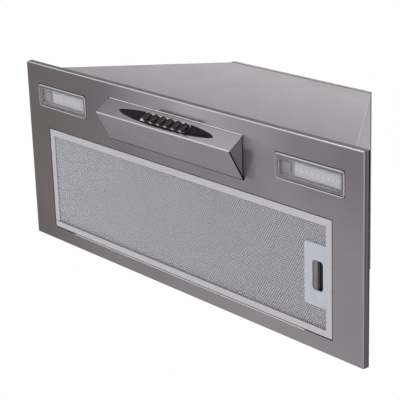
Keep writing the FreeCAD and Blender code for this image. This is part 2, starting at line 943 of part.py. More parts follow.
def latch_slider():
    """The sprung slider: an open frame, the finger bar at its free end, and the bolt with its bevelled tip."""
    base = box(slider_x, around(opening_centre_y, slider_width), (slider_low, slider_top))
    bar_x = (slider_x[0], slider_x[0] + grip_length)
    bar_y = around(opening_centre_y, grip_width)
    bar = box(bar_x, bar_y, (cup_low + grip_gap, slider_low))
    room = (slider_low - overrun, slider_top + overrun)
    base = base.cut(box((bar_x[1], slider_x[1] - slider_bridge), bar_y, room))
    tip = filter_half + bolt_reach
    outline = [(slider_x[1], slider_low), (tip - bolt_bevel, slider_low), (tip, slider_low + bolt_bevel)]
    outline += [(tip, slider_top), (slider_x[1], slider_top)]
    bolt = prism(outline, around(opening_centre_y, bolt_width), "y")
    return joined([base, bar, bolt])


def latch_spring():
    """The folded leaf spring between the cup's end wall and the slider."""
    start = cup_x[0] + cup_wall + seat_gap
    end = slider_x[0] - seat_gap
    middle = (start + end) / 2
    low = opening_centre_y - spring_reach / 2
    high = opening_centre_y + spring_reach / 2
    inner = high - spring_sheet * spring_reach / (middle - start)
    outline = [(start, low), (middle, high), (end, low), (end - spring_sheet, low)]
    outline += [(middle, inner), (start + spring_sheet, low)]
    return prism(outline, (slider_low, slider_top), "z")


def latch_keeper():
    """The ledge on the plate over which the bolt hooks."""
    top = slider_low - seat_gap
    tip = filter_half + bolt_reach
    web = (tip + seat_gap, tip + seat_gap + keeper_sheet)
    outline = [(tip - keeper_reach, top - keeper_sheet), (web[0], top - keeper_sheet)]
    outline += [(web[0], plate_top), (web[0] + keeper_foot, plate_top)]
    outline += [(web[0] + keeper_foot, plate_top + keeper_sheet), (web[1], plate_top + keeper_sheet)]
    outline += [(web[1], top), (tip - keeper_reach, top)]
    return prism(outline, around(opening_centre_y, keeper_width), "y")


# Blower


def duct_centre_y():
    """The middle of the blower's outlet, front to rear."""
    return fan_axis_y + spiral_end / 2


def spiral_region(grow, x, top):
    """The side view of the casing, drawn out along X: a spiral sector joined to the outlet."""
    steps = 18
    points = []
    for n in range(steps + 1):
        turn = 3 * math.pi / 2 * n / steps
        reach = spiral_start + (spiral_end - spiral_start) * n / steps + grow
        points.append(Vector(x[0], fan_axis_y - reach * math.sin(turn), fan_axis_z + reach * math.cos(turn)))
    centre = Vector(x[0], fan_axis_y, fan_axis_z)
    curve = Part.BSplineCurve()
    curve.interpolate(points)
    edges = [curve.toShape(), Part.makeLine(points[-1], centre), Part.makeLine(centre, points[0])]
    sector = Part.Face(Part.Wire(edges)).extrude(Vector(x[1] - x[0], 0, 0))
    outlet_y = (fan_axis_y - grow, fan_axis_y + spiral_end + grow)
    outlet = box(x, outlet_y, (fan_axis_z, top))
    return sector.fuse(outlet).removeSplitter()


def scroll_wrap():
    """The spiral wall of the blower casing, open at its sides and its outlet."""
    span = around(0, casing_width)
    outside = spiral_region(casing_sheet, span, casing_top)
    inside = spiral_region(0, (span[0] - overrun, span[1] + overrun), casing_top + overrun)
    return outside.cut(inside)


def fan_point(x):
    """A point on the fan's axis."""
    return Vector(x, fan_axis_y, fan_axis_z)


def scroll_side_right():
    """The right-hand side of the casing, with its turned-in inlet."""
    face = casing_width / 2
    side = spiral_region(casing_sheet, (face, face + casing_sheet), casing_top)
    side = side.cut(rod(inlet_radius, fan_point(face - overrun), X_AXIS, casing_sheet + 2 * overrun))
    lip = [(inlet_radius, face - inlet_lip), (inlet_radius + casing_sheet, face - inlet_lip)]
    lip += [(inlet_radius + casing_sheet, face), (inlet_radius + inlet_flare + casing_sheet, face)]
    lip += [(inlet_radius + inlet_flare, face + casing_sheet), (inlet_radius, face)]
    corners = [Vector(x, fan_axis_y, fan_axis_z + r) for r, x in lip]
    ring = Part.Face(Part.makePolygon(corners + corners[:1])).revolve(fan_point(0), X_AXIS, 360)
    screws = [rod(screw_hole_radius, p, X_AXIS, 3 * overrun) for p in motor_screw_points(face - overrun)]
    return joined([side, ring]).cut(screws)


def scroll_side_left():
    """The left-hand side of the casing."""
    return mirrored_x(scroll_side_right())


def scroll_hangers():
    """Four angle brackets from the roof down the sides of the casing."""
    face = casing_width / 2 + casing_sheet
    hangers = []
    for side, y, place in hanger_places():
        size_y = around(y, hanger_width)
        leg_x = sorted((side * face, side * (face + hanger_sheet)))
        foot_x = sorted((side * face, side * (face + hanger_foot)))
        leg = box(leg_x, size_y, (roof_under - hanger_drop, roof_under))
        foot = box(foot_x, size_y, (roof_under - hanger_sheet, roof_under))
        hangers.append(cut_screw_holes(leg.fuse(foot).removeSplitter(), [place]))
    return Part.makeCompound(hangers)


def outlet_gasket():
    """The foam frame between the blower outlet and the roof."""
    z = (casing_top, roof_under)
    reach = casing_sheet + gasket_border
    outer = box(
        around(0, casing_width + 2 * casing_sheet),
        (fan_axis_y - reach, fan_axis_y + spiral_end + reach),
        z,
    )
    inner = box(
        around(0, casing_width - 2 * gasket_border),
        (fan_axis_y + casing_sheet, fan_axis_y + spiral_end - casing_sheet),
        (z[0] - overrun, z[1] + overrun),
    )
    return outer.cut(inner)


def blade():
    """One forward-curved blade, bent along its middle, from end to end of the wheel."""
    lead = math.radians(blade_lead_angle)
    tip_radius = wheel_radius - wheel_ring / 4
    root = (fan_axis_y, fan_axis_z + wheel_radius - blade_depth)
    tip = (fan_axis_y + tip_radius * math.sin(lead), fan_axis_z + tip_radius * math.cos(lead))
    run = math.dist(root, tip)
    across = ((root[1] - tip[1]) / run, (tip[0] - root[0]) / run)
    line = []
    for share, rise in ((0, 0), (1 / 3, blade_camber), (2 / 3, blade_camber), (1, 0)):
        y = root[0] + (tip[0] - root[0]) * share + across[0] * rise
        z = root[1] + (tip[1] - root[1]) * share + across[1] * rise
        line.append((y, z))
    back = [(y + across[0] * blade_sheet, z + across[1] * blade_sheet) for y, z in line]
    return prism(line + back[::-1], around(0, wheel_width), "x")


def fan_wheel():
    """The double-inlet wheel: middle disc and hub, blades right across, and two end rings."""
    half = wheel_width / 2
    disc = rod(wheel_radius, fan_point(-wheel_disc / 2), X_AXIS, wheel_disc)
    hub = rod(hub_radius, fan_point(-hub_length / 2), X_AXIS, hub_length)
    inner = wheel_radius - blade_depth / 2
    rings = [
        tube(wheel_radius, inner, fan_point(-half), X_AXIS, wheel_ring),
        tube(wheel_radius, inner, fan_point(half - wheel_ring), X_AXIS, wheel_ring),
    ]
    first = blade()
    step = 360 / blade_count
    blades = [first.rotated(fan_point(0), X_AXIS, step * n) for n in range(blade_count)]
    wheel = disc.multiFuse([hub] + rings + blades)
    bore = rod(shaft_radius, fan_point(-hub_length), X_AXIS, 2 * hub_length)
    return wheel.cut(bore)


def motor_shaft():
    """The steel shaft that the wheel is pressed on."""
    end = motor_start + motor_length - overrun
    return rod(shaft_radius, fan_point(-shaft_tail), X_AXIS, end + shaft_tail)


def motor_body():
    """The motor's can, with a running bore for the shaft."""
    can = rod(motor_radius, fan_point(motor_start), X_AXIS, motor_length)
    rim = [edge for edge in can.Edges if edge.BoundBox.XMax < motor_start + overrun]
    can = can.makeChamfer(motor_edge, rim)
    bore = rod(shaft_radius + shaft_fit, fan_point(motor_start - overrun), X_AXIS, motor_length + 2 * overrun)
    return can.cut(bore)


def motor_end_cap():
    """The rear end of the motor, with its bearing boss."""
    start = motor_start + motor_length
    cap = rod(motor_radius, fan_point(start), X_AXIS, motor_cap)
    rim = [edge for edge in cap.Edges if edge.BoundBox.XMin > start + motor_cap / 2]
    cap = cap.makeChamfer(motor_edge, rim)
    boss = rod(motor_boss_radius, fan_point(start + motor_cap), X_AXIS, motor_boss)
    return cap.fuse(boss).removeSplitter()


def arm_turns():
    """The turn of each spider arm from straight up, in degrees."""
    return [360 / spider_arms * n for n in range(spider_arms)]


def motor_screw_points(x):
    """The points round the inlet where the motor's arms are fastened, at one place along X."""
    points = []
    for turn in arm_turns():
        angle = math.radians(turn)
        reach = Vector(0, math.sin(angle), math.cos(angle)) * grommet_circle
        points.append(fan_point(x) + reach)
    return points


def motor_spider():
    """The carrier: a band round the motor and three arms out to the inlet's edge."""
    face = casing_width / 2 + casing_sheet + grommet_height
    inner = motor_radius + spider_fit
    outer = inner + spider_band
    band = rod(outer, fan_point(face + arm_sheet - spider_depth), X_AXIS, spider_depth)
    arm = box(
        (face, face + arm_sheet),
        around(fan_axis_y, arm_width),
        (fan_axis_z + motor_radius, fan_axis_z + arm_radius),
    )
    arms = [arm.rotated(fan_point(0), X_AXIS, -turn) for turn in arm_turns()]
    bore = rod(inner, fan_point(face - spider_depth), X_AXIS, 2 * spider_depth)
    spider = joined([band] + arms).cut(bore)
    holes = [rod(screw_hole_radius, p, X_AXIS, 2 * arm_sheet) for p in motor_screw_points(face - overrun)]
    return spider.cut(holes)


def motor_grommets():
    """The rubber bushes between the arms and the casing."""
    start = casing_width / 2 + casing_sheet
    bushes = []
    for point in motor_screw_points(start):
        bushes.append(tube(grommet_radius, screw_hole_radius, point, X_AXIS, grommet_height))
    return Part.makeCompound(bushes)


def motor_screws():
    """The screws through the arms and bushes into the casing."""
    stand = casing_width / 2 + casing_sheet + grommet_height + arm_sheet
    upright = screw(Vector(), screw_grip)
    along = upright.rotated(Vector(), Y_AXIS, 90)
    return Part.makeCompound([along.translated(point) for point in motor_screw_points(stand)])


# Duct collar and flaps


def flap_axis_z():
    """The height of the flaps' hinge lines."""
    return body_height + flap_height


def duct_point(z):
    """A point on the duct's axis."""
    return Vector(0, duct_centre_y(), z)


def flap_lines():
    """The flaps' hinge lines: their x, for the left-hand and the right-hand flap."""
    return (-flap_hinge_offset, flap_hinge_offset)


def barrel_half():
    """Half the length of a flap's hinge barrel, between the pads."""
    return duct_radius - duct_wall - pad_depth - pad_play


def outlet_collar():
    """The duct collar: flange, tube, a ledge that the flaps close on, and their bearing pads."""
    bore = duct_radius - duct_wall
    shell = rod(duct_radius, duct_point(body_height), Z_AXIS, duct_length)
    flange = rod(collar_flange_radius, duct_point(body_height), Z_AXIS, collar_flange)
    passage = rod(bore, duct_point(body_height - overrun), Z_AXIS, duct_length + 2 * overrun)
    body = shell.fuse(flange).removeSplitter().cut(passage)
    ledge_top = flap_axis_z() - flap_sheet / 2 - flap_gap
    ledge_low = ledge_top - seat_ledge_sheet
    grip = duct_wall / 2
    ledge = tube(bore + grip, bore - seat_ledge, duct_point(ledge_low), Z_AXIS, seat_ledge_sheet)
    z = around(flap_axis_z(), pad_height)
    pads = []
    for side in (-1, 1):
        run = sorted((side * (bore - pad_depth), side * duct_radius))
        y = [duct_centre_y() + place for place in run]
        pads.append(box(around(0, pad_width), y, z))
    round_stock = rod(bore + grip, duct_point(z[0]), Z_AXIS, pad_height)
    pads = [pad.common(round_stock) for pad in pads]
    body = joined([body, ledge] + pads)
    pin = flap_pin + flap_pin_fit
    reach = barrel_half() + flap_pin_length + seat_gap
    holes = []
    for x in flap_lines():
        start = Vector(x, duct_centre_y() - reach, flap_axis_z())
        holes.append(rod(pin, start, Y_AXIS, 2 * reach))
    places = collar_screw_places()
    return cut_screw_holes(body.cut(holes), places)


def damper_flap_right():
    """The right-hand flap: half a disc on a hinge barrel with a pin at each end."""
    x = flap_lines()[1]
    z = around(flap_axis_z(), flap_sheet)
    edge = duct_radius - duct_wall - flap_gap
    disc = rod(edge, duct_point(z[0]), Z_AXIS, flap_sheet)
    keep = box((x, duct_radius), around(duct_centre_y(), 2 * duct_radius), z)
    leaf = disc.common(keep)
    half = barrel_half()
    for side in (-1, 1):
        run = sorted((side * half, side * duct_radius))
        notch_y = [duct_centre_y() + place for place in run]
        leaf = leaf.cut(box((0, flap_notch), notch_y, (z[0] - overrun, z[1] + overrun)))
    start = Vector(x, duct_centre_y(), flap_axis_z())
    barrel = rod(flap_barrel, start - Y_AXIS * half, Y_AXIS, 2 * half)
    reach = half + flap_pin_length
    pin = rod(flap_pin, start - Y_AXIS * reach, Y_AXIS, 2 * reach)
    return joined([leaf, barrel, pin])


def damper_flap_left():
    """The left-hand flap."""
    return mirrored_x(damper_flap_right())


# Electrical pieces


fold_inside = wall_x(roof_under) - side_fold
capacitor_drop = capacitor_radius + clip_fit + clip_sheet
capacitor_x = fold_inside - capacitor_gap - capacitor_drop
capacitor_start_y = capacitor_setback - panel_back_y
driver_start_x = driver_setback + slant_sheet - wall_x(driver_base_z + driver_height)
gland_x = terminal_gap + terminal_box_length / 2 - fold_inside
gland_y = gland_setback - panel_back_y


def capacitor_point(y):
    """A point on the capacitor's axis, hung from the roof by its clip."""
    return Vector(capacitor_x, y, roof_under - capacitor_drop)


def capacitor():
    """The motor's run capacitor, with two blade terminals on its front end."""
    can = rod(capacitor_radius, capacitor_point(capacitor_start_y), Y_AXIS, capacitor_length)
    ends = [edge for edge in can.Edges if edge.BoundBox.YLength < clip_sheet]
    can = can.makeChamfer(clip_sheet, ends)
    middle = capacitor_point(capacitor_start_y)
    tab_y = (capacitor_start_y - terminal_tab_length, capacitor_start_y + clip_sheet)
    tab_z = around(middle.z, terminal_tab_width)
    tabs = [
        box(around(middle.x + side * terminal_tab_offset, terminal_tab_sheet), tab_y, tab_z) for side in (-1, 1)
    ]
    return can.multiFuse(tabs)


def capacitor_clip():
    """The band that hangs the capacitor from the roof, with its foot."""
    start = capacitor_start_y + (capacitor_length - clip_width) / 2
    inner = capacitor_radius + clip_fit
    band = tube(inner + clip_sheet, inner, capacitor_point(start), Y_AXIS, clip_width)
    foot = box(
        around(capacitor_x, capacitor_radius),
        (start, start + clip_width),
        (roof_under - clip_sheet, roof_under),
    )
    clear = rod(inner, capacitor_point(start - overrun), Y_AXIS, clip_width + 2 * overrun)
    return band.fuse(foot).removeSplitter().cut(clear)


def led_driver():
    """The supply for the lamps, on the inside of the front panel, with a bored ear at each end."""
    size_x = (driver_start_x, driver_start_x + driver_length)
    size_y = (-panel_back_y, -panel_back_y + driver_depth)
    size_z = (driver_base_z, driver_base_z + driver_height)
    case = rounded_block(size_x, size_y, size_z, driver_edge)
    ear_x = (size_x[0] - driver_ear, size_x[1] + driver_ear)
    ear_z = around(driver_base_z + driver_height / 2, 2 * driver_ear)
    ears = box(ear_x, (size_y[0], size_y[0] + driver_ear_sheet), ear_z)
    holes = []
    for x in (ear_x[0] + driver_ear / 2, ear_x[1] - driver_ear / 2):
        start = Vector(x, size_y[0] - overrun, driver_base_z + driver_height / 2)
        holes.append(rod(screw_hole_radius, start, Y_AXIS, driver_ear_sheet + 2 * overrun))
    return joined([case, ears]).cut(holes)


def terminal_box():
    """The box for the mains terminals, under the gland."""
    size_x = around(gland_x, terminal_box_length)
    size_y = around(gland_y, terminal_box_width)
    outer = box(size_x, size_y, (roof_under - terminal_box_height, roof_under))
    wall = terminal_box_wall
    inner = box(
        (size_x[0] + wall, size_x[1] - wall),
        (size_y[0] + wall, size_y[1] - wall),
        (roof_under - terminal_box_height + wall, roof_under - wall),
    )
    start = Vector(gland_x, gland_y, roof_under - 2 * wall)
    entry = rod(gland_shank_radius + gland_clearance, start, Z_AXIS, 2 * wall + overrun)
    return outer.cut(inner).cut(entry)


def cable_gland():
    """The inlet for the mains lead: a six-sided head on a round shank, bored right through."""
    turn = math.pi / 3
    corners = []
    for n in range(6):
        reach = gland_head_radius
        corners.append((gland_x + reach * math.cos(turn * n), gland_y + reach * math.sin(turn * n)))
    head = prism(corners, (body_height, body_height + gland_head), "z")
    low = Vector(gland_x, gland_y, body_height - gland_shank)
    shank = rod(gland_shank_radius, low, Z_AXIS, gland_shank)
    bore = rod(gland_bore, low - Z_AXIS * overrun, Z_AXIS, gland_shank + gland_head + 2 * overrun)
    return head.fuse(shank).cut(bore)


def all_pieces():
    """Every sub-part of the hood under its own name."""
    pieces = {
        "fascia_panel": fascia_panel(),
        "control_ridge": control_ridge(),
        "ridge_end_left": ridge_end_left(),
        "ridge_end_right": ridge_end_right(),
        "control_bezel": control_bezel(),
        "button_surround": button_surround(),
        "switch_block": switch_block(),
        "switch_brackets": switch_brackets(),
        "filter_frame": filter_frame(),
        "filter_mesh_front": filter_mesh_front(),
        "filter_core": filter_core(),
        "filter_mesh_rear": filter_mesh_rear(),
        "latch_plate": latch_plate(),
        "latch_cup": latch_cup(),
        "latch_slider": latch_slider(),
        "latch_spring": latch_spring(),
        "latch_keeper": latch_keeper(),
        "housing_front": housing_front(),
        "housing_rear": housing_rear(),
        "housing_side_left": housing_side_left(),
        "housing_side_right": housing_side_right(),
        "top_cover": top_cover(),
        "cross_rail_front": cross_rail(opening_front, -1),
        "cross_rail_rear": cross_rail(opening_rear, 1),
        "fascia_screws": fascia_screws(),
        "roof_screws": roof_screws(),
        "scroll_wrap": scroll_wrap(),
        "scroll_side_left": scroll_side_left(),
        "scroll_side_right": scroll_side_right(),
        "scroll_hangers": scroll_hangers(),
        "outlet_gasket": outlet_gasket(),
        "fan_wheel": fan_wheel(),
        "motor_shaft": motor_shaft(),
        "motor_body": motor_body(),
        "motor_end_cap": motor_end_cap(),
        "motor_spider": motor_spider(),
        "motor_grommets": motor_grommets(),
        "motor_screws": motor_screws(),
        "outlet_collar": outlet_collar(),
        "damper_flap_left": damper_flap_left(),
        "damper_flap_right": damper_flap_right(),
        "capacitor": capacitor(),
        "capacitor_clip": capacitor_clip(),
        "led_driver": led_driver(),
        "terminal_box": terminal_box(),
        "cable_gland": cable_gland(),
    }
    for number, x in enumerate(button_places(), start=1):
        pieces[f"push_button_{number}"] = push_button(x)
    for side, centre in lamp_sides().items():
        pieces[f"lamp_lens_{side}"] = lamp_lens(centre)
        pieces[f"lamp_housing_{side}"] = lamp_housing(centre)
        pieces[f"led_board_{side}"] = led_board(centre)
        pieces[f"lamp_terminal_{side}"] = lamp_terminal(centre)
    return pieces


os.makedirs("parts", exist_ok=True)
for name, shape in all_pieces().items():
    shape.exportStep(f"parts/{name}.step")
    print(f"{name}: {len(shape.Solids)} solids, valid {shape.isValid()}, {shape.Volume:.1f} mm3")
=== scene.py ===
import math

import bmesh
import bpy
from mathutils import Matrix, Vector


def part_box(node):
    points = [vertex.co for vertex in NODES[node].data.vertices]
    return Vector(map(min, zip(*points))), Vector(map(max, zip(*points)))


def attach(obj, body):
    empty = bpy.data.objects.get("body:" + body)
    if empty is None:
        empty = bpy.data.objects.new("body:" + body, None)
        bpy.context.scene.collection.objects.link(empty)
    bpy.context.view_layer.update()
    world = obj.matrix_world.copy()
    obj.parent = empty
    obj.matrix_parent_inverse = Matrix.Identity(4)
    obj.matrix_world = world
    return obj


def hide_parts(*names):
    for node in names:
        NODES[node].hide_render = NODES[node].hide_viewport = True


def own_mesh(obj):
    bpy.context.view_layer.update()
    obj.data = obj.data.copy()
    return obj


bl_info = {
    "name": "Built-in range hood",
    "version": (1, 0, 0),
    "blender": (4, 5, 0),
    "location": "3D View > Sidebar > Range hood",
    "description": "Dresses a built-in range hood in its finishes, mesh, screws and lamps",
    "category": "Object",
}

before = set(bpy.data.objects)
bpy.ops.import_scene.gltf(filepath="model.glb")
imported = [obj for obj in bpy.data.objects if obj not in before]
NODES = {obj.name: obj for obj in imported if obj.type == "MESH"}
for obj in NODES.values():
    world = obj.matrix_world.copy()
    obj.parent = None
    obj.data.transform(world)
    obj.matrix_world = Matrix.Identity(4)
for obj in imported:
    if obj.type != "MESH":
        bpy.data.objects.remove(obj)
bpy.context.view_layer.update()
MM = 0.001
LENSES = ("lamp_lens_left", "lamp_lens_right")
WHITE = (1, 1, 1, 1)


def mm(value):
    """Millimetres as metres."""
    return value * MM


def linear(colour):
    """An sRGB hex colour as linear RGBA; a colour from the settings is linear already."""
    if not isinstance(colour, str):
        return tuple(colour)
    parts = [int(colour[n : n + 2], 16) / 255 for n in (1, 3, 5)]
    return [p / 12.92 if p <= 0.04045 else ((p + 0.055) / 1.055) ** 2.4 for p in parts] + [1.0]


def shaded(colour, share):
    """A colour from the settings at a share of its brightness."""
    return [part * share for part in colour[:3]] + [1.0]


def feed(node, inputs):
    """Sets inputs of a node to fixed values, or links them to sockets or to other nodes' first outputs."""
    for name, value in inputs.items():
        source = value.outputs[0] if isinstance(value, bpy.types.Node) else value
        if isinstance(source, bpy.types.NodeSocket):
            node.id_data.links.new(source, node.inputs[name])
        else:
            node.inputs[name].default_value = source


def add_node(tree, kind, inputs=None, **settings):
    """A new node with its settings and its inputs."""
    made = tree.nodes.new(kind)
    for name, value in settings.items():
        setattr(made, name, value)
    feed(made, inputs or {})
    return made


def both(tree, first, *others):
    """Factors multiplied, so that the result is one only where all of them are."""
    for other in others:
        first = add_node(tree, "ShaderNodeMath", {0: first, 1: other}, operation="MULTIPLY")
    return first


def either(tree, first, *others):
    """The strongest of several factors."""
    for other in others:
        first = add_node(tree, "ShaderNodeMath", {0: first, 1: other}, operation="MAXIMUM")
    return first


# Materials


def new_material(name, colour, values):
    """A material with a Principled shader at plain values, its tree, shader and Object coordinates."""
    material = bpy.data.materials.new(name)
    material.use_nodes = True
    tree = material.node_tree
    tree.nodes.clear()
    shader = add_node(tree, "ShaderNodeBsdfPrincipled", {"Base Color": linear(colour)} | values)
    add_node(tree, "ShaderNodeOutputMaterial", {"Surface": shader})
    place = add_node(tree, "ShaderNodeTexCoord").outputs["Object"]
    return material, tree, shader, place


def grain(tree, place, size_mm, detail=2.0, scale=(1, 1, 1)):
    """A noise whose features are about size_mm across, on coordinates stretched by scale."""
    stretched = add_node(tree, "ShaderNodeMapping", {"Vector": place, "Scale": scale})
    values = {"Scale": 1 / mm(size_mm), "Detail": detail, "Roughness": 0.55}
    return add_node(tree, "ShaderNodeTexNoise", {"Vector": stretched} | values)


def spread(tree, fac, low, high):
    """The middle part of a noise, from 0.3 to 0.7, spread between two values."""
    ends = {"From Min": 0.3, "From Max": 0.7, "To Min": low, "To Max": high}
    return add_node(tree, "ShaderNodeMapRange", {"Value": fac} | ends)


def raise_surface(tree, shader, height, depth_mm):
    """A bump from a height between 0 and 1 that stands depth_mm high."""
    bump = add_node(tree, "ShaderNodeBump", {"Height": height, "Distance": mm(depth_mm), "Strength": 1.0})
    feed(shader, {"Normal": bump})


def in_region(tree, place, **limits):
    """One inside a region of object space, given as AXIS=(low, high) in metres, with None for no limit."""
    spot = add_node(tree, "ShaderNodeSeparateXYZ", {"Vector": place}).outputs
    tests = []
    for axis, ends in limits.items():
        for operation, limit in zip(("GREATER_THAN", "LESS_THAN"), ends):
            if limit is not None:
                inputs = {0: spot[axis], 1: limit}
                tests.append(add_node(tree, "ShaderNodeMath", inputs, operation=operation))
    return both(tree, *tests)


def slope(tree, place, axis, start, end):
    """A factor that rises from nought to one between two places along an axis, in metres."""
    spot = add_node(tree, "ShaderNodeSeparateXYZ", {"Vector": place}).outputs[axis]
    return add_node(tree, "ShaderNodeMapRange", {"Value": spot, "From Min": start, "From Max": end})


def distance(tree, value, middle):
    """How far a coordinate is from a place, in metres."""
    away = add_node(tree, "ShaderNodeMath", {0: value, 1: middle}, operation="SUBTRACT")
    return add_node(tree, "ShaderNodeMath", {0: away}, operation="ABSOLUTE")


def tinted(tree, tone, dark, light):
    """A colour that a tone takes from dark to light."""
    colours = {6: linear(dark), 7: linear(light)}
    return add_node(tree, "ShaderNodeMix", {0: tone} | colours, data_type="RGBA").outputs[2]


def painted(tree, tone, under, *layers):
    """A colour under layers: each is a factor with one colour, or a dark and a light one for the tone."""
    for where, *colours in layers:
        top = tinted(tree, tone, *colours) if len(colours) == 2 else linear(colours[0])
        under = add_node(tree, "ShaderNodeMix", {0: where, 6: under, 7: top}, data_type="RGBA").outputs[2]
    return under


def steel_sheet(name, dark, light):
    """Brushed sheet between two tones: long scratches, broad smears and a soft sheen."""
    values = {"Metallic": 1.0, "Specular Tint": linear("#bcbcbc")}
    material, tree, shader, place = new_material(name, light, values)
    # The scratches are about 0.3 mm apart; they are drawn 1.2 mm apart so that they show
    scratches = grain(tree, place, 1.2, 2.0, (0.012, 1, 1))
    smears = grain(tree, place, 150, 1.0)
    smear_share = 0.9
    tone = add_node(tree, "ShaderNodeMix", {0: smear_share, 2: scratches, 3: smears})
    tone = spread(tree, tone, 0, 1)
    feed(shader, {"Roughness": spread(tree, scratches, 0.26, 0.32)})
    raise_surface(tree, shader, scratches, 0.004)
    return material, tree, shader, place, tone, tinted(tree, tone, dark, light)


def painted_ridge_reflection(tree, place):
    """A painted reflection of the bright control ridge on the faceplate: a soft patch in front of its right
    half.
    """
    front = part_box("control_ridge")[0].y
    rise = slope(tree, place, "X", mm(-150), mm(20))
    fall = slope(tree, place, "X", mm(230), mm(60))
    near = slope(tree, place, "Y", front + mm(25), front)
    return both(tree, rise, fall, near)


def painted_end_patch(tree, place, right, front, rear):
    """A patch of the faceplate beside the ridge's right end, for painted light and for painted shade, which
    fades out over three slopes.
    """
    beside = in_region(tree, place, X=(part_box("control_ridge")[1].x - mm(2), None))
    fades = [slope(tree, place, axis, *ends) for axis, ends in (("X", right), ("Y", front), ("Y", rear))]
    return both(tree, beside, *fades)


def painted_end_light_and_shade(tree, place):
    """Beside the ridge's right end, a painted light patch at the front and a painted shade at the rear."""
    low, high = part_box("control_ridge")
    light_right = (high.x + mm(32), high.x + mm(20))
    light_front = (low.y - mm(2), low.y + mm(5))
    light_rear = (low.y + mm(28), low.y + mm(14))
    shade_right = (high.x + mm(24), high.x + mm(10))
    shade_front = (low.y + mm(14), low.y + mm(30))
    shade_rear = (high.y - mm(2), high.y - mm(9))
    light = painted_end_patch(tree, place, light_right, light_front, light_rear)
    return light, painted_end_patch(tree, place, shade_right, shade_front, shade_rear)


def painted_lamp_shadows(tree, place):
    """Painted shadow where a lamp cover shades the faceplate: a thin line along its front and its right side.
    """
    shadow_lines = []
    for node in LENSES:
        low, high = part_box(node)
        end = high.x + mm(1)
        shadow_lines.append(in_region(tree, place, X=(low.x - mm(0.5), end), Y=(low.y - mm(1.3), low.y + mm(0.3))))
        shadow_lines.append(in_region(tree, place, X=(high.x - mm(0.3), end), Y=(low.y, high.y + mm(0.6))))
    return either(tree, *shadow_lines)


def brushed_stainless():
    """Faceplate: stainless steel belt-brushed along its length, with painted sheen on its face, painted
    highlights on its bends and painted shade on its rim.
    """
    material, tree, shader, place, tone, colour = steel_sheet("brushed_stainless", "#878186", "#928d91")
    low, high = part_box("fascia_panel")
    filter_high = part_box("filter_frame")[1]
    to_right = slope(tree, place, "X", high.x - mm(130), high.x - mm(20))
    to_front = slope(tree, place, "Y", low.y + mm(130), low.y + mm(25))
    # Painted light and painted shade beside the ridge's right end
    light, shade = painted_end_light_and_shade(tree, place)
    # Painted sheen over the face, lighter towards the rear and the right and darker at the front right
    # corner; warmer towards the left end; then the painted reflection of the ridge, the painted light and
    # shade beside its right end, and painted shadows along the lamp covers
    colour = painted(
        tree,
        tone,
        colour,
        (slope(tree, place, "Y", low.y + mm(20), high.y), "#999295", "#a49ea0"),
        (to_right, "#8f8a8e", "#999498"),
        (both(tree, to_right, to_front), "#7c767b", "#867f84"),
        (slope(tree, place, "X", low.x + mm(220), low.x), "#8b8282", "#948b8b"),
        (painted_ridge_reflection(tree, place), "#b7afb5", "#c5bec3"),
        (light, "#989297", "#a09a9f"),
        (shade, "#6e686e", "#766f76"),
        (painted_lamp_shadows(tree, place), "#423e42"),
    )
    # The rim, in painted light and shade: painted shade on its front wall and a painted highlight on its
    # bend, then painted shade on its right wall with a paler painted strip and a painted black shadow at its
    # far edge, a painted highlight on its right bend and painted shade on its left wall
    bend = mm(1.5)
    close = mm(0.1)
    height = high.z - low.z
    wall = (low.z + bend, None)
    right = (high.x - close, None)
    front_bend = in_region(tree, place, Y=(None, low.y + mm(1.15)), Z=(None, low.z + mm(1.2)))
    side_bend = in_region(tree, place, X=(high.x - bend + close, None), Z=(None, low.z + bend))
    forward = slope(tree, place, "Y", high.y, low.y)
    strip = in_region(tree, place, X=right, Z=(low.z + 0.45 * height, low.z + 0.8 * height))
    far = in_region(tree, place, X=right, Z=(low.z + 0.76 * height, None))
    # The hidden upper side is the sheet's dull back
    sheet = mm(0.7)
    inside_x = (low.x + sheet, high.x - sheet)
    inside_y = (low.y + sheet, high.y - sheet)
    back = in_region(tree, place, X=inside_x, Y=inside_y, Z=(low.z + sheet, None))
    # The folded edge behind the filter gets a painted highlight, as if it catches the light
    reach = filter_high.x - mm(48.3)
    fold = in_region(tree, place, X=(-reach, reach), Y=(filter_high.y + mm(0.6), filter_high.y + mm(2.5)))
    colour = painted(
        tree,
        tone,
        colour,
        (in_region(tree, place, Y=(None, low.y + close), Z=wall), "#6c676b"),
        (front_bend, "#d2ced2"),
        (in_region(tree, place, X=right, Z=wall), "#545054"),
        (both(tree, strip, forward), "#656165"),
        (both(tree, far, forward), "#0e0d0f"),
        (side_bend, "#938e93"),
        (in_region(tree, place, X=(None, low.x + close), Z=wall), "#5c575b"),
        (back, "#9c989c"),
        (fold, "#efecf0"),
    )
    # Metallic is 1, less the loss where the sheet is dull on its hidden back, and where the painted highlight
    # on the fold and the painted light and shade beside the ridge's end have to show
    dull = either(tree, back, fold, light, shade)
    loss = 0.75
    metal = add_node(tree, "ShaderNodeMath", {0: dull, 1: -loss, 2: 1.0}, operation="MULTIPLY_ADD")
    feed(shader, {"Base Color": colour, "Metallic": metal})
    return material


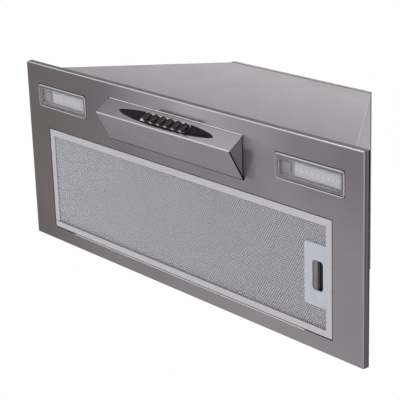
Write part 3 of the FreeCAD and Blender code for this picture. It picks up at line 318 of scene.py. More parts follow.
def ridge_stainless():
    """Control ridge: the same brushed steel, with painted highlights on its fold and hem, and painted shade
    on its front face, along its rear foot and at its right end.
    """
    material, tree, shader, place, tone, colour = steel_sheet("ridge_stainless", "#a69fa4", "#b2abb0")
    low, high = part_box("control_ridge")
    crest = min((v.co for v in NODES["control_ridge"].data.vertices), key=lambda spot: spot.z)
    front = in_region(tree, place, Y=(None, crest.y))
    to_right = slope(tree, place, "X", low.x, low.x + 0.8 * (high.x - low.x))
    hem = in_region(tree, place, Y=(None, low.y + mm(1.6)), Z=(high.z - mm(3.2), None))
    left_corner = in_region(tree, place, X=(None, low.x + mm(2.5)), Y=(None, low.y + mm(2.2)))
    rear_end_shade = in_region(tree, place, X=(high.x - mm(2), None), Y=(crest.y, None))
    # The front face is painted darker as shade and lightens to the right; painted highlights on the crest and
    # the hem; painted shade along the rear foot, at the left corner and at the rear of the right end; plain
    # grey on the right cut end
    colour = painted(
        tree,
        tone,
        colour,
        (front, "#807b7f", "#8b868a"),
        (both(tree, front, to_right), "#a59ea5", "#afa9af"),
        (in_region(tree, place, Z=(None, low.z + mm(0.35))), "#f0edf0"),
        (hem, "#f7f4f7"),
        (in_region(tree, place, Y=(high.y - mm(1.1), None)), "#3a363a"),
        (left_corner, "#1c191b"),
        (in_region(tree, place, X=(high.x - mm(0.05), None)), "#8e888e"),
        (rear_end_shade, "#080708"),
    )
    feed(shader, {"Base Color": colour})
    return material


def end_plate_stainless():
    """End plates of the ridge: steel seen across its brushing, so duller, with painted shade along their
    foot.
    """
    material, tree, shader, place, tone, colour = steel_sheet("end_plate_stainless", "#908a90", "#a09aa0")
    # Painted shade along the foot, where the plate meets the faceplate
    foot = in_region(tree, place, Z=(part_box("ridge_end_right")[1].z - mm(1.8), None))
    feed(shader, {"Metallic": 0.4, "Base Color": painted(tree, tone, colour, (foot, "#4a454a"))})
    return material


def beside_sheet(tree, place, inner, start, end, height):
    """A band across the edge of a front or rear sheet, in Y, that leaves out the sheet's inner face."""
    skin = mm(0.05)
    before = in_region(tree, place, Y=(start, inner - skin), Z=height)
    after = in_region(tree, place, Y=(inner + skin, end), Z=height)
    return either(tree, before, after)


def powder_coated_grey():
    """Steel sheet under light grey powder coat: fine orange peel, no metal, and painted shade that darkens it
    low down.
    """
    coat = bpy.context.scene.range_hood.coat_colour
    material, tree, shader, place = new_material(
        "powder_coated_grey", coat, {"IOR": 1.5, "Specular IOR Level": 0.05}
    )
    clouds = spread(tree, grain(tree, place, 60, 3.0), 0, 1)
    roof_low, roof_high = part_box("top_cover")
    # Painted shade: the coat is darker low down and lightens towards the roof
    rise = slope(tree, place, "Z", 0.0, roof_high.z * 0.8)
    # On the side sheets: a painted highlight along their front fold, the right sheet painted darker as shade,
    # and a painted shadow at their rear joint
    height = (mm(1), roof_low.z - mm(0.5))
    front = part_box("housing_front")[1].y
    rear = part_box("housing_rear")[0].y
    fold = beside_sheet(tree, place, front, front - mm(0.78), front + mm(1.3), height)
    side = in_region(tree, place, X=(mm(150), None), Y=(front + mm(1.3), rear), Z=height)
    rear_joint_shade = beside_sheet(tree, place, rear, rear - mm(3), rear + mm(0.78), height)
    colour = painted(
        tree,
        clouds,
        tinted(tree, clouds, shaded(coat, 0.694), shaded(coat, 0.757)),
        (rise, shaded(coat, 0.914), coat),
        (fold, shaded(coat, 1.14)),
        (side, shaded(coat, 0.67), shaded(coat, 0.754)),
        (rear_joint_shade, "#1b1a1b"),
    )
    peel = grain(tree, place, 1.6)
    feed(shader, {"Base Color": colour, "Roughness": spread(tree, peel, 0.62, 0.74)})
    raise_surface(tree, shader, peel, 0.02)
    return material


def galvanised_steel():
    """Hot-dip zinc-coated sheet: dull metal with a pattern of pale and dark spangles about 8 mm across."""
    material, tree, shader, place = new_material("galvanised_steel", "#a9adb1", {"Metallic": 1.0})
    values = {"Scale": 1 / mm(8), "Randomness": 1.0}
    spangle = add_node(tree, "ShaderNodeTexVoronoi", {"Vector": place} | values)
    grey = add_node(tree, "ShaderNodeRGBToBW", {"Color": spangle.outputs["Color"]})
    colour = tinted(tree, grey, "#9a9ea3", "#b7babd")
    feed(shader, {"Base Color": colour, "Roughness": spread(tree, grey, 0.36, 0.5)})
    raise_surface(tree, shader, grain(tree, place, 2.5), 0.015)
    return material


def marked_metal(name, dark, light, marks, values, rough=None, depth_mm=None):
    """A metal whose colour, and where given its roughness and height, follow marks of a real size."""
    material, tree, shader, place = new_material(name, light, {"Metallic": 1.0} | values)
    marks = grain(tree, place, *marks)
    feed(shader, {"Base Color": tinted(tree, spread(tree, marks, 0, 1), dark, light)})
    if rough is not None:
        feed(shader, {"Roughness": spread(tree, marks, *rough)})
    if depth_mm is not None:
        raise_surface(tree, shader, marks, depth_mm)
    return material


def bright_zinc():
    """Zinc-plated screw steel: bright, slightly blue metal with fine tool marks."""
    return marked_metal("bright_zinc", "#b4b7bc", "#ced0d3", (0.7,), {}, rough=(0.22, 0.36))


def silver_lacquer():
    """Surround: ABS under silver lacquer, metal flake that glints softly."""
    silver = bpy.context.scene.range_hood.surround_colour
    values = {"Metallic": 0.9, "Roughness": 0.26, "Coat Weight": 0.4, "Coat Roughness": 0.08}
    return marked_metal("silver_lacquer", shaded(silver, 0.788), silver, (0.5, 1.0), values)


def spring_steel():
    """Leaf spring: rolled strip, blue-grey metal."""
    return marked_metal("spring_steel", "#85888d", "#999ca0", (1.0,), {"Roughness": 0.3})


def cast_aluminium():
    """Motor end cap: die-cast aluminium, grainy and dull."""
    return marked_metal("cast_aluminium", "#96989b", "#b0b2b4", (1.0, 3.0), {"Roughness": 0.5}, depth_mm=0.06)


def ground_steel():
    """Motor shaft: ground bar with fine rings round it."""
    rings = (0.6, 2.0, (1, 0.05, 0.05))
    return marked_metal("ground_steel", "#aeb0b4", "#c6c8ca", rings, {"Roughness": 0.22})


def dull_aluminium(name, marks, span, left, right, values):
    """Aluminium under its dull oxide skin, with marks of a real size, and other tones at its right end."""
    material, tree, shader, place = new_material(name, right[1], {"Specular IOR Level": 0.3} | values)
    marks = grain(tree, place, *marks)
    tone = spread(tree, marks, 0, 1)
    colour = painted(tree, tone, tinted(tree, tone, *left), (slope(tree, place, "X", *span), *right))
    return material, tree, shader, place, marks, colour


def rolled_aluminium():
    """Filter frame: mill-finish aluminium section, pale and oxide-dull, with fine rolling lines along it."""
    low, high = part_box("filter_frame")
    # The rolling lines are finer than 0.2 mm; they are drawn 0.9 mm apart
    material, tree, shader, place, lines, colour = dull_aluminium(
        "rolled_aluminium",
        (0.9, 2.0, (0.03, 1, 1)),
        (low.x, high.x),
        ("#d6d6dd", "#e0e0e7"),
        ("#d0cdd3", "#dcd9de"),
        {"Metallic": 0.35},
    )
    # Painted shade along the channel's inner edge at the rear, where it lies in shadow
    channel = mm(9.8)
    edge_y = (high.y - mm(9.9), high.y - mm(8.7))
    edge = in_region(tree, place, X=(low.x + channel, high.x - channel), Y=edge_y)
    colour = painted(tree, lines, colour, (edge, "#77757b"))
    feed(shader, {"Base Color": colour, "Roughness": spread(tree, lines, 0.36, 0.46)})
    raise_surface(tree, shader, lines, 0.006)
    return material


def expanded_aluminium():
    """Filter mesh: slit and stretched aluminium foil, pale and slightly oxide-dull."""
    low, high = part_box("filter_frame")
    material, tree, shader, place, marks, colour = dull_aluminium(
        "expanded_aluminium",
        (3.0,),
        (low.x, high.x),
        ("#f2f1f8", "#fbfafe"),
        ("#e8e5ea", "#f2f0f4"),
        {"Metallic": 0.35, "Roughness": 0.42},
    )
    # Painted shade on the first strands, which the channel at the far end keeps in shadow
    first = in_region(tree, place, X=(None, low.x + mm(12)))
    feed(shader, {"Base Color": painted(tree, marks, colour, (first, "#55535a"))})
    return material


def pleated_aluminium():
    """Filter core: folded aluminium foil, duller than the mesh, with creases."""
    low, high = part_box("filter_core")
    material, tree, shader, _, creases, colour = dull_aluminium(
        "pleated_aluminium",
        (2.2, 3.0),
        (low.x, high.x - mm(120)),
        ("#cac8ce", "#dcdae0"),
        ("#b2b0b5", "#c4c2c7"),
        {"Metallic": 0.3, "Roughness": 0.55},
    )
    feed(shader, {"Base Color": colour})
    raise_surface(tree, shader, creases, 0.08)
    return material


def clear_acrylic():
    """Lamp cover: thin clear acrylic that mirrors more at a slant, with white painted highlights along its
    edges.
    """
    values = {"Roughness": 0.1, "IOR": 1.49, "Specular IOR Level": 0.8}
    material, tree, shader, place = new_material("clear_acrylic", "#f2f0f4", values)
    raise_surface(tree, shader, grain(tree, place, 7), 0.02)
    facing = add_node(tree, "ShaderNodeLayerWeight", {"Blend": 0.5}).outputs["Facing"]
    ends = {"From Min": 0.3, "From Max": 0.9, "To Min": 0.04, "To Max": 0.36}
    body = add_node(tree, "ShaderNodeMapRange", {"Value": facing} | ends)
    # Each cover is made a little milky beside its left end, a painted light band, and nearly solid white
    # along its edges as painted highlights
    milk = 0.26
    edge_white = 0.9
    for node in LENSES:
        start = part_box(node)[0].x
        milky = in_region(tree, place, X=(start + mm(0.8), start + mm(5)))
        body = either(tree, body, both(tree, milky, milk))
    low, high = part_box("lamp_lens_right")
    spot = add_node(tree, "ShaderNodeSeparateXYZ", {"Vector": place}).outputs
    along = distance(tree, distance(tree, spot["X"], 0), (low.x + high.x) / 2)
    across = distance(tree, spot["Y"], (low.y + high.y) / 2)
    edge = in_region(tree, place, Z=(low.z + mm(0.04), low.z + mm(0.7)))
    for away, size, width in ((along, high.x - low.x, mm(0.6)), (across, high.y - low.y, mm(1.3))):
        inputs = {0: away, 1: size / 2 - width}
        edge = either(tree, edge, add_node(tree, "ShaderNodeMath", inputs, operation="GREATER_THAN"))
    body = either(tree, body, both(tree, edge, edge_white))
    through = add_node(tree, "ShaderNodeBsdfTransparent", {"Color": linear("#fbfbfc")})
    mix = add_node(tree, "ShaderNodeMixShader", {0: body, 1: through, 2: shader})
    feed(tree.nodes["Material Output"], {"Surface": mix})
    return material


def led_board_coating():
    """Lamp board: white solder mask, brighter on the light chips that stand below it."""
    material, tree, shader, place = new_material("led_board_coating", "#ecebe6", {"Roughness": 0.4})
    chips = in_region(tree, place, Z=(None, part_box("led_board_left")[0].z + mm(0.2)))
    feed(shader, {"Base Color": tinted(tree, chips, "#e9e9ed", "#ffffff")})
    raise_surface(tree, shader, grain(tree, place, 1.5), 0.02)
    return material


def moulded(name, dark, light, roughness, grain_mm, depth_mm, gloss=0.5):
    """A moulded plastic: one colour with a little drift, and a surface grain of a real size."""
    material, tree, shader, place = new_material(name, light, {"IOR": 1.5, "Specular IOR Level": gloss})
    drift = spread(tree, grain(tree, place, 14), 0, 1)
    bumps = grain(tree, place, grain_mm)
    rough = spread(tree, bumps, roughness * 0.85, roughness * 1.15)
    feed(shader, {"Base Color": tinted(tree, drift, dark, light), "Roughness": rough})
    raise_surface(tree, shader, bumps, depth_mm)
    return material


def polished_black_abs():
    """Bezel: ABS from a polished mould, near-black with sharp reflections and slight flow waves."""
    black = bpy.context.scene.range_hood.bezel_colour
    return moulded("polished_black_abs", shaded(black, 0.757), black, 0.14, 9.0, 0.02, 0.03)


def gloss_button_abs():
    """Button caps: glossy ABS with a little handling haze."""
    black = bpy.context.scene.range_hood.button_colour
    return moulded("gloss_button_abs", shaded(black, 0.63), black, 0.2, 5.0, 0.01, 0.14)


def switch_polyamide():
    """Switch body: dark grey glass-filled polyamide, matt with a fine grain."""
    return moulded("switch_polyamide", "#2f3033", "#3a3b3e", 0.6, 0.8, 0.02)


def white_nylon():
    """Connector blocks: natural nylon that has greyed a little, slightly waxy."""
    return moulded("white_nylon", "#a39ea0", "#b0abad", 0.42, 1.2, 0.02)


def lamp_box_abs():
    """Lamp boxes: light grey ABS."""
    return moulded("lamp_box_abs", "#b8b4b8", "#c4c0c4", 0.45, 1.0, 0.02)


def dark_latch_abs():
    """Latch cup: dark grey ABS, matt with a fine grain."""
    return moulded("dark_latch_abs", "#252427", "#2e2d31", 0.6, 0.8, 0.02, 0.3)


def pale_latch_abs():
    """Latch plate: pale blue-grey ABS with a fine spark-eroded grain."""
    return moulded("pale_latch_abs", "#cfd1df", "#dadce8", 0.5, 0.8, 0.02)


def grey_acetal():
    """Latch slider: mid grey acetal, slippery and slightly glossy."""
    return moulded("grey_acetal", "#7e7b79", "#8c8985", 0.36, 1.4, 0.01)


def closed_cell_foam():
    """Gasket: black closed-cell foam with visible pores."""
    return moulded("closed_cell_foam", "#1c1c1e", "#2a2a2c", 0.9, 1.0, 0.25)


def bush_rubber():
    """Motor bushes: soft black rubber, matt."""
    return moulded("bush_rubber", "#19191a", "#222223", 0.75, 0.9, 0.03)


def motor_enamel():
    """Motor can: dark grey enamel over steel, with light orange peel."""
    return moulded("motor_enamel", "#3a3c40", "#44464a", 0.38, 2.0, 0.03)


def collar_polypropylene():
    """Duct collar: dark grey polypropylene with a matt moulded grain."""
    return moulded("collar_polypropylene", "#2c2d30", "#37383b", 0.5, 1.2, 0.03)


def flap_polypropylene():
    """Damper flaps: mid grey polypropylene."""
    return moulded("flap_polypropylene", "#5c5e61", "#686a6d", 0.5, 1.2, 0.03)


def capacitor_can():
    """Capacitor: white polypropylene can."""
    return moulded("capacitor_can", "#d4d3ce", "#e0dfda", 0.4, 2.0, 0.02)


def driver_polycarbonate():
    """Lamp supply: white polycarbonate case, satin."""
    return moulded("driver_polycarbonate", "#d8d8d6", "#e4e4e2", 0.42, 1.0, 0.02)


def terminal_polyamide():
    """Terminal box and gland: black polyamide, satin with a fine grain."""
    return moulded("terminal_polyamide", "#1c1c1f", "#27272a", 0.46, 0.8, 0.02)


FINISHES = {
    brushed_stainless: ["fascia_panel"],
    ridge_stainless: ["control_ridge"],
    end_plate_stainless: ["ridge_end_left", "ridge_end_right"],
    powder_coated_grey: [
        "housing_front",
        "housing_rear",
        "housing_side_left",
        "housing_side_right",
        "top_cover",
    ],
    galvanised_steel: [
        "cross_rail_front",
        "cross_rail_rear",
        "scroll_wrap",
        "scroll_side_left",
        "scroll_side_right",
        "scroll_hangers",
        "switch_brackets",
        "capacitor_clip",
        "motor_spider",
        "latch_keeper",
        "fan_wheel",
    ],
    polished_black_abs: ["control_bezel"],
    silver_lacquer: ["button_surround"],
    switch_polyamide: ["switch_block"],
    clear_acrylic: LENSES,
    led_board_coating: ["led_board_left", "led_board_right"],
    white_nylon: ["lamp_terminal_left", "lamp_terminal_right"],
    lamp_box_abs: ["lamp_housing_left", "lamp_housing_right"],
    rolled_aluminium: ["filter_frame"],
    pleated_aluminium: ["filter_core"],
    pale_latch_abs: ["latch_plate"],
    dark_latch_abs: ["latch_cup"],
    grey_acetal: ["latch_slider"],
    closed_cell_foam: ["outlet_gasket"],
    bush_rubber: ["motor_grommets"],
    motor_enamel: ["motor_body"],
    cast_aluminium: ["motor_end_cap"],
    ground_steel: ["motor_shaft"],
    collar_polypropylene: ["outlet_collar"],
    flap_polypropylene: ["damper_flap_left", "damper_flap_right"],
    capacitor_can: ["capacitor"],
    driver_polycarbonate: ["led_driver"],
    terminal_polyamide: ["terminal_box", "cable_gland"],
}


def finish_nodes(*finishes):
    """Gives the solids of each finish their material."""
    for finish in finishes:
        material = finish()
        for name in FINISHES[finish]:
            mesh = NODES[name].data
            mesh.materials.clear()
            mesh.materials.append(material)


# Mesh helpers


def new_piece(name, mesh, material, body, slot, *nodes):
    """A finished piece that rides on a body and stands for solids of the frame."""
    piece = bpy.data.objects.new(name, mesh)
    bpy.context.scene.collection.objects.link(piece)
    mesh.materials.clear()
    mesh.materials.append(material)
    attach(piece, body)
    if nodes:
        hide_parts(*nodes)
    return piece


def mesh_from(bm, name, sharp_degrees=35):
    """A mesh from a bmesh, smooth but for edges sharper than an angle."""
    bmesh.ops.remove_doubles(bm, verts=bm.verts, dist=mm(0.001))
    bmesh.ops.recalc_face_normals(bm, faces=bm.faces)
    mesh = bpy.data.meshes.new(name)
    bm.to_mesh(mesh)
    bm.free()
    mesh.shade_smooth()
    mesh.set_sharp_from_angle(angle=math.radians(sharp_degrees))
    return mesh


def ring(bm, radius, height, count):
    """A ring of points round Z, from sizes in millimetres."""
    turns = [2 * math.pi * n / count for n in range(count)]
    return [bm.verts.new((mm(radius) * math.cos(t), mm(radius) * math.sin(t), mm(height))) for t in turns]


def turned(profile, count):
    """A closed bmesh turned about Z from (radius, height) points in millimetres, from pole to pole."""
    bm = bmesh.new()
    rings = []
    for radius, height in profile:
        at_pole = radius == 0
        rings.append([bm.verts.new((0, 0, mm(height)))] if at_pole else ring(bm, radius, height, count))
    for low, high in zip(rings, rings[1:]):
        for n in range(count):
            after = n + 1
            corners = [low[n % len(low)], low[after % len(low)], high[after % len(high)], high[n % len(high)]]
            bm.faces.new(list(dict.fromkeys(corners)))
    return bm


def plain_mesh(thing, name):
    """The evaluated geometry of an object as a plain mesh of its own."""
    bpy.context.view_layer.update()
    evaluated = thing.evaluated_get(bpy.context.evaluated_depsgraph_get())
    mesh = bpy.data.meshes.new_from_object(evaluated)
    mesh.name = name
    return mesh


def new_tree(name, sockets):
    """A Geometry Nodes tree with named inputs and one geometry output."""
    tree = bpy.data.node_groups.new(name, "GeometryNodeTree")
    for label, kind, default in sockets:
        socket = tree.interface.new_socket(label, in_out="INPUT", socket_type=kind)
        if default is not None:
            socket.default_value = default
    tree.interface.new_socket("Geometry", in_out="OUTPUT", socket_type="NodeSocketGeometry")
    return tree


def grown(name, mesh, tree, inputs):
    """The mesh that a Geometry Nodes tree makes, with its inputs set by the sockets' identifiers."""
    holder = bpy.data.objects.new(name, mesh)
    bpy.context.scene.collection.objects.link(holder)
    modifier = holder.modifiers.new(name, "NODES")
    modifier.node_group = tree
    for item in tree.interface.items_tree:
        if item.in_out == "INPUT" and item.name in inputs:
            modifier[item.identifier] = inputs[item.name]
    result = plain_mesh(holder, name)
    holder.modifiers.remove(modifier)
    bpy.data.objects.remove(holder)
    return result


# Expanded filter mesh


def expanded_sheet_tree():
    """Rows of zigzag strands that meet at their knuckles, with a window left out."""
    tree = new_tree(
        "expanded_sheet",
        [
            ("Corner", "NodeSocketVector", (0, 0, 0)),
            ("Cell along", "NodeSocketFloat", 0.00375),
            ("Cell across", "NodeSocketFloat", 0.00585),
            ("Strands", "NodeSocketInt", 100),
            ("Rows", "NodeSocketInt", 50),
            ("Strand width", "NodeSocketFloat", 0.0006),
            ("Strand depth", "NodeSocketFloat", 0.0005),
            ("Window low", "NodeSocketVector", (0, 0, 0)),
            ("Window high", "NodeSocketVector", (0, 0, 0)),
            ("Material", "NodeSocketMaterial", None),
        ],
    )
    given = add_node(tree, "NodeGroupInput").outputs
    half_along = add_node(tree, "ShaderNodeMath", {0: given["Cell along"], 1: 0.5}, operation="MULTIPLY")
    half_across = add_node(tree, "ShaderNodeMath", {0: given["Cell across"], 1: 0.5}, operation="MULTIPLY")
    index = add_node(tree, "GeometryNodeInputIndex")
    odd = add_node(tree, "ShaderNodeMath", {0: index, 1: 2.0}, operation="MODULO")
    # A strand is a line whose every other point is moved half a cell across
    step = add_node(tree, "ShaderNodeCombineXYZ", {"X": half_along})
    peak_run = add_node(tree, "ShaderNodeMath", {0: odd, 1: half_across}, operation="MULTIPLY")
    peak = add_node(tree, "ShaderNodeCombineXYZ", {"Y": peak_run})
    line = add_node(tree, "GeometryNodeMeshLine", {"Count": given["Strands"], "Offset": step})
    zigzag = add_node(tree, "GeometryNodeSetPosition", {"Geometry": line, "Offset": peak})
    curve = add_node(tree, "GeometryNodeMeshToCurve", {"Mesh": zigzag})
    section = {"Width": given["Strand width"], "Height": given["Strand depth"]}
    profile = add_node(tree, "GeometryNodeCurvePrimitiveQuadrilateral", section)
    strand = add_node(tree, "GeometryNodeCurveToMesh", {"Curve": curve, "Profile Curve": profile})
    # Every other row is moved half a cell along, so that the peaks meet
    rise = add_node(tree, "ShaderNodeCombineXYZ", {"Y": half_across})
    shift_run = add_node(tree, "ShaderNodeMath", {0: odd, 1: half_along}, operation="MULTIPLY")
    shift = add_node(tree, "ShaderNodeCombineXYZ", {"X": shift_run})
    rows = add_node(tree, "GeometryNodeMeshLine", {"Count": given["Rows"], "Offset": rise})
    staggered = add_node(tree, "GeometryNodeSetPosition", {"Geometry": rows, "Offset": shift})
    sheet = add_node(tree, "GeometryNodeInstanceOnPoints", {"Points": staggered, "Instance": strand})
    real = add_node(tree, "GeometryNodeRealizeInstances", {"Geometry": sheet})
    placed = add_node(tree, "GeometryNodeTransform", {"Geometry": real, "Translation": given["Corner"]})
    position = add_node(tree, "GeometryNodeInputPosition")
    modes = {"data_type": "VECTOR", "mode": "ELEMENT"}
    tests = {}
    for number, label, operation in ((0, "Window low", "GREATER_THAN"), (1, "Window high", "LESS_THAN")):
        compared = {4: position, 5: given[label]}
        tests[number] = add_node(tree, "FunctionNodeCompare", compared, operation=operation, **modes)
    inside = add_node(tree, "FunctionNodeBooleanMath", tests, operation="AND")
    cut = {"Geometry": placed, "Selection": inside}
    kept = add_node(tree, "GeometryNodeDeleteGeometry", cut, domain="POINT")
    coated = add_node(tree, "GeometryNodeSetMaterial", {"Geometry": kept, "Material": given["Material"]})
    add_node(tree, "NodeGroupOutput", {"Geometry": coated})
    return tree


def expanded_sheet(node, material, tree, settings):
    """One sheet of expanded mesh in the place of a plain filter sheet."""
    low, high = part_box(node)
    pocket_low, pocket_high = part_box("latch_cup")
    edge = settings.strand_width
    half_along, half_across = settings.cell_along / 2, settings.cell_across / 2
    corner = Vector((low.x + edge, low.y + edge, (low.z + high.z) / 2))
    window_low = Vector((pocket_low.x - edge, pocket_low.y - edge, low.z - edge))
    window_high = Vector((high.x + edge, pocket_high.y + edge, high.z + edge))
    if node == "filter_mesh_rear":
        window_low = window_high = corner
    name = node + "_strands"
    inputs = {
        "Corner": corner,
        "Cell along": settings.cell_along,
        "Cell across": settings.cell_across,
        "Strands": int((high.x - low.x - 2 * edge - half_along) / half_along),
        "Rows": int((high.y - low.y - 2 * edge - half_across) / half_across),
        "Strand width": settings.strand_width,
        "Strand depth": settings.strand_depth,
        "Window low": window_low,
        "Window high": window_high,
        "Material": material,
    }
    mesh = grown(name, bpy.data.meshes.new(node + "_seed"), tree, inputs)
    return new_piece(name, mesh, material, "grease_filter", "mesh_aluminium", node)


def leaf_spring(material):
    """The folded leaf spring of the latch, a smooth copy of its solid; the bolt squashes it as it is drawn
    back, but the copy stays as it is.
    """
    bm = bmesh.new()
    bm.from_mesh(NODES["latch_spring"].data)
    mesh = mesh_from(bm, "leaf_spring", 30)
    piece = new_piece("leaf_spring", mesh, material, "grease_filter", "spring_steel", "latch_spring")
    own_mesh(piece)
    return piece


# Screws


def screw_tree():
    """A screw on every point, turned to one axis."""
    tree = new_tree(
        "screw_row",
        [
            ("Places", "NodeSocketGeometry", None),
            ("Screw", "NodeSocketObject", None),
            ("Turn", "NodeSocketVector", (0, 0, 0)),
            ("Material", "NodeSocketMaterial", None),
        ],
    )
    given = add_node(tree, "NodeGroupInput").outputs
    screw = add_node(tree, "GeometryNodeObjectInfo", {"Object": given["Screw"]}).outputs["Geometry"]
    turn = add_node(tree, "FunctionNodeEulerToRotation", {0: given["Turn"]})
    spread_out = {"Points": given["Places"], "Instance": screw, "Rotation": turn}
    row = add_node(tree, "GeometryNodeInstanceOnPoints", spread_out)
    real = add_node(tree, "GeometryNodeRealizeInstances", {"Geometry": row})
    coated = add_node(tree, "GeometryNodeSetMaterial", {"Geometry": real, "Material": given["Material"]})
    add_node(tree, "NodeGroupOutput", {"Geometry": coated})
    return tree


def pan_screw_mesh(head_radius, head_height, shank_radius, shank_length):
    """A pan-head screw with a cross recess, its head standing on the origin, from sizes in millimetres."""
    rings = 7
    count = 32
    # The cross: half the width and the reach of its arms, its depth, and the least height of its floor
    half_slot = head_radius * 0.208
    reach = head_radius * 0.56
    deep = head_height * 0.55
    least = head_height * 0.2
    # The dome starts at this share of the head's height
    rim = 0.42
    bm = bmesh.new()
    centre = bm.verts.new((0, 0, mm(head_height - deep)))
    loops = []
    for step in range(1, rings + 1):
        radius = head_radius * math.sin(math.pi / 2 * step / rings)
        dome = head_height * (rim + (1 - rim) * math.cos(math.pi / 2 * (radius / head_radius) ** 2))
        loop = ring(bm, radius, dome, count)
        for vert in loop:
            near, far = sorted((abs(vert.co.x), abs(vert.co.y)))
            if near < mm(half_slot) and far < mm(reach):
                vert.co.z -= mm(deep)
            vert.co.z = max(vert.co.z, mm(least))
        loops.append(loop)
    for radius, height in ((head_radius, 0), (shank_radius, 0), (shank_radius, -shank_length)):
        loops.append(ring(bm, radius, height, count))
    for n in range(count):
        after = (n + 1) % count
        bm.faces.new((centre, loops[0][n], loops[0][after]))
        for inner, outer in zip(loops, loops[1:]):
            bm.faces.new((inner[n], outer[n], outer[after], inner[after]))
    bm.faces.new(list(reversed(loops[-1])))
    return mesh_from(bm, "pan_screw", 40)


def solid_corners(node):
    """The lowest and highest corners of each separate solid in a node's mesh."""
    bm = bmesh.new()
    bm.from_mesh(NODES[node].data)
    bmesh.ops.remove_doubles(bm, verts=bm.verts, dist=mm(0.01))
    found = []
    left = set(bm.verts)
    while left:
        island, front = set(), [left.pop()]
        while front:
            vert = front.pop()
            island.add(vert)
            for edge in vert.link_edges:
                other = edge.other_vert(vert)
                if other in left:
                    left.discard(other)
                    front.append(other)
        points = [v.co for v in island]
        low = Vector([min(p[axis] for p in points) for axis in range(3)])
        high = Vector([max(p[axis] for p in points) for axis in range(3)])
        found.append((low, high))
    bm.free()
    return found


def screw_group(node, tree, material, axis):
    """Crossed pan-head screws in the place of a node's plain ones, along X (0) or Z (2)."""
    settings = bpy.context.scene.range_hood
    places = []
    for low, high in solid_corners(node):
        middle = (low + high) / 2
        middle[axis] = high[axis] - settings.screw_head_height
        places.append(middle)
    seed = bpy.data.meshes.new(node + "_places")
    seed.from_pydata(places, [], [])
    sizes = (
        settings.screw_head_radius,
        settings.screw_head_height,
        settings.screw_shank_radius,
        settings.screw_length,
    )
    model = bpy.data.objects.new("pan_screw", pan_screw_mesh(*(size / MM for size in sizes)))
    turn = (0, 0, 0) if axis == 2 else (0, math.pi / 2, 0)
    mesh = grown(node + "_crossed", seed, tree, {"Screw": model, "Turn": turn, "Material": material})
    bpy.data.objects.remove(model)
    mesh.shade_smooth()
    mesh.set_sharp_from_angle(angle=math.radians(40))
    return new_piece(node + "_crossed", mesh, material, "hood_body", "screw_zinc", node)


# Buttons


def button_mesh(name, node):
    """A push-button with a dished face and a softened edge, in the place of its solid."""
    settings = bpy.context.scene.range_hood
    radius = settings.button_radius / MM
    dish = settings.button_dish / MM
    # Heights in millimetres along the button's own axis
    face = 4.6
    skirt = -0.8
    stem_end = skirt - 11.0
    stem_radius = 2.4
    edge = 0.9
    rim = radius - edge
    steps = 6
    profile = [(0, stem_end), (stem_radius, stem_end), (stem_radius, skirt), (radius, skirt)]
    for step in range(steps + 1):
        turn = math.pi / 2 * step / steps
        profile.append((rim + edge * math.cos(turn), face - edge + edge * math.sin(turn)))
    for step in range(1, steps + 1):
        reach = rim * (1 - step / steps)
        profile.append((reach, face - dish * (1 - (reach / rim) ** 2)))
    bm = turned(profile, 48)
    low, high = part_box(node)
    # The button's axis leans 35 degrees from level
    outward = Vector((0, -0.81908, -0.57367))
    turn = outward.to_track_quat("Z", "X").to_matrix().to_4x4()
    # The solid's box runs from the stem's end to the cap's face, so its middle is half-way along the axis
    half_run = (face + stem_end) / 2
    bm.transform(Matrix.Translation((low + high) / 2 - outward * mm(half_run)) @ turn)
    return mesh_from(bm, name, 40)


# Operators


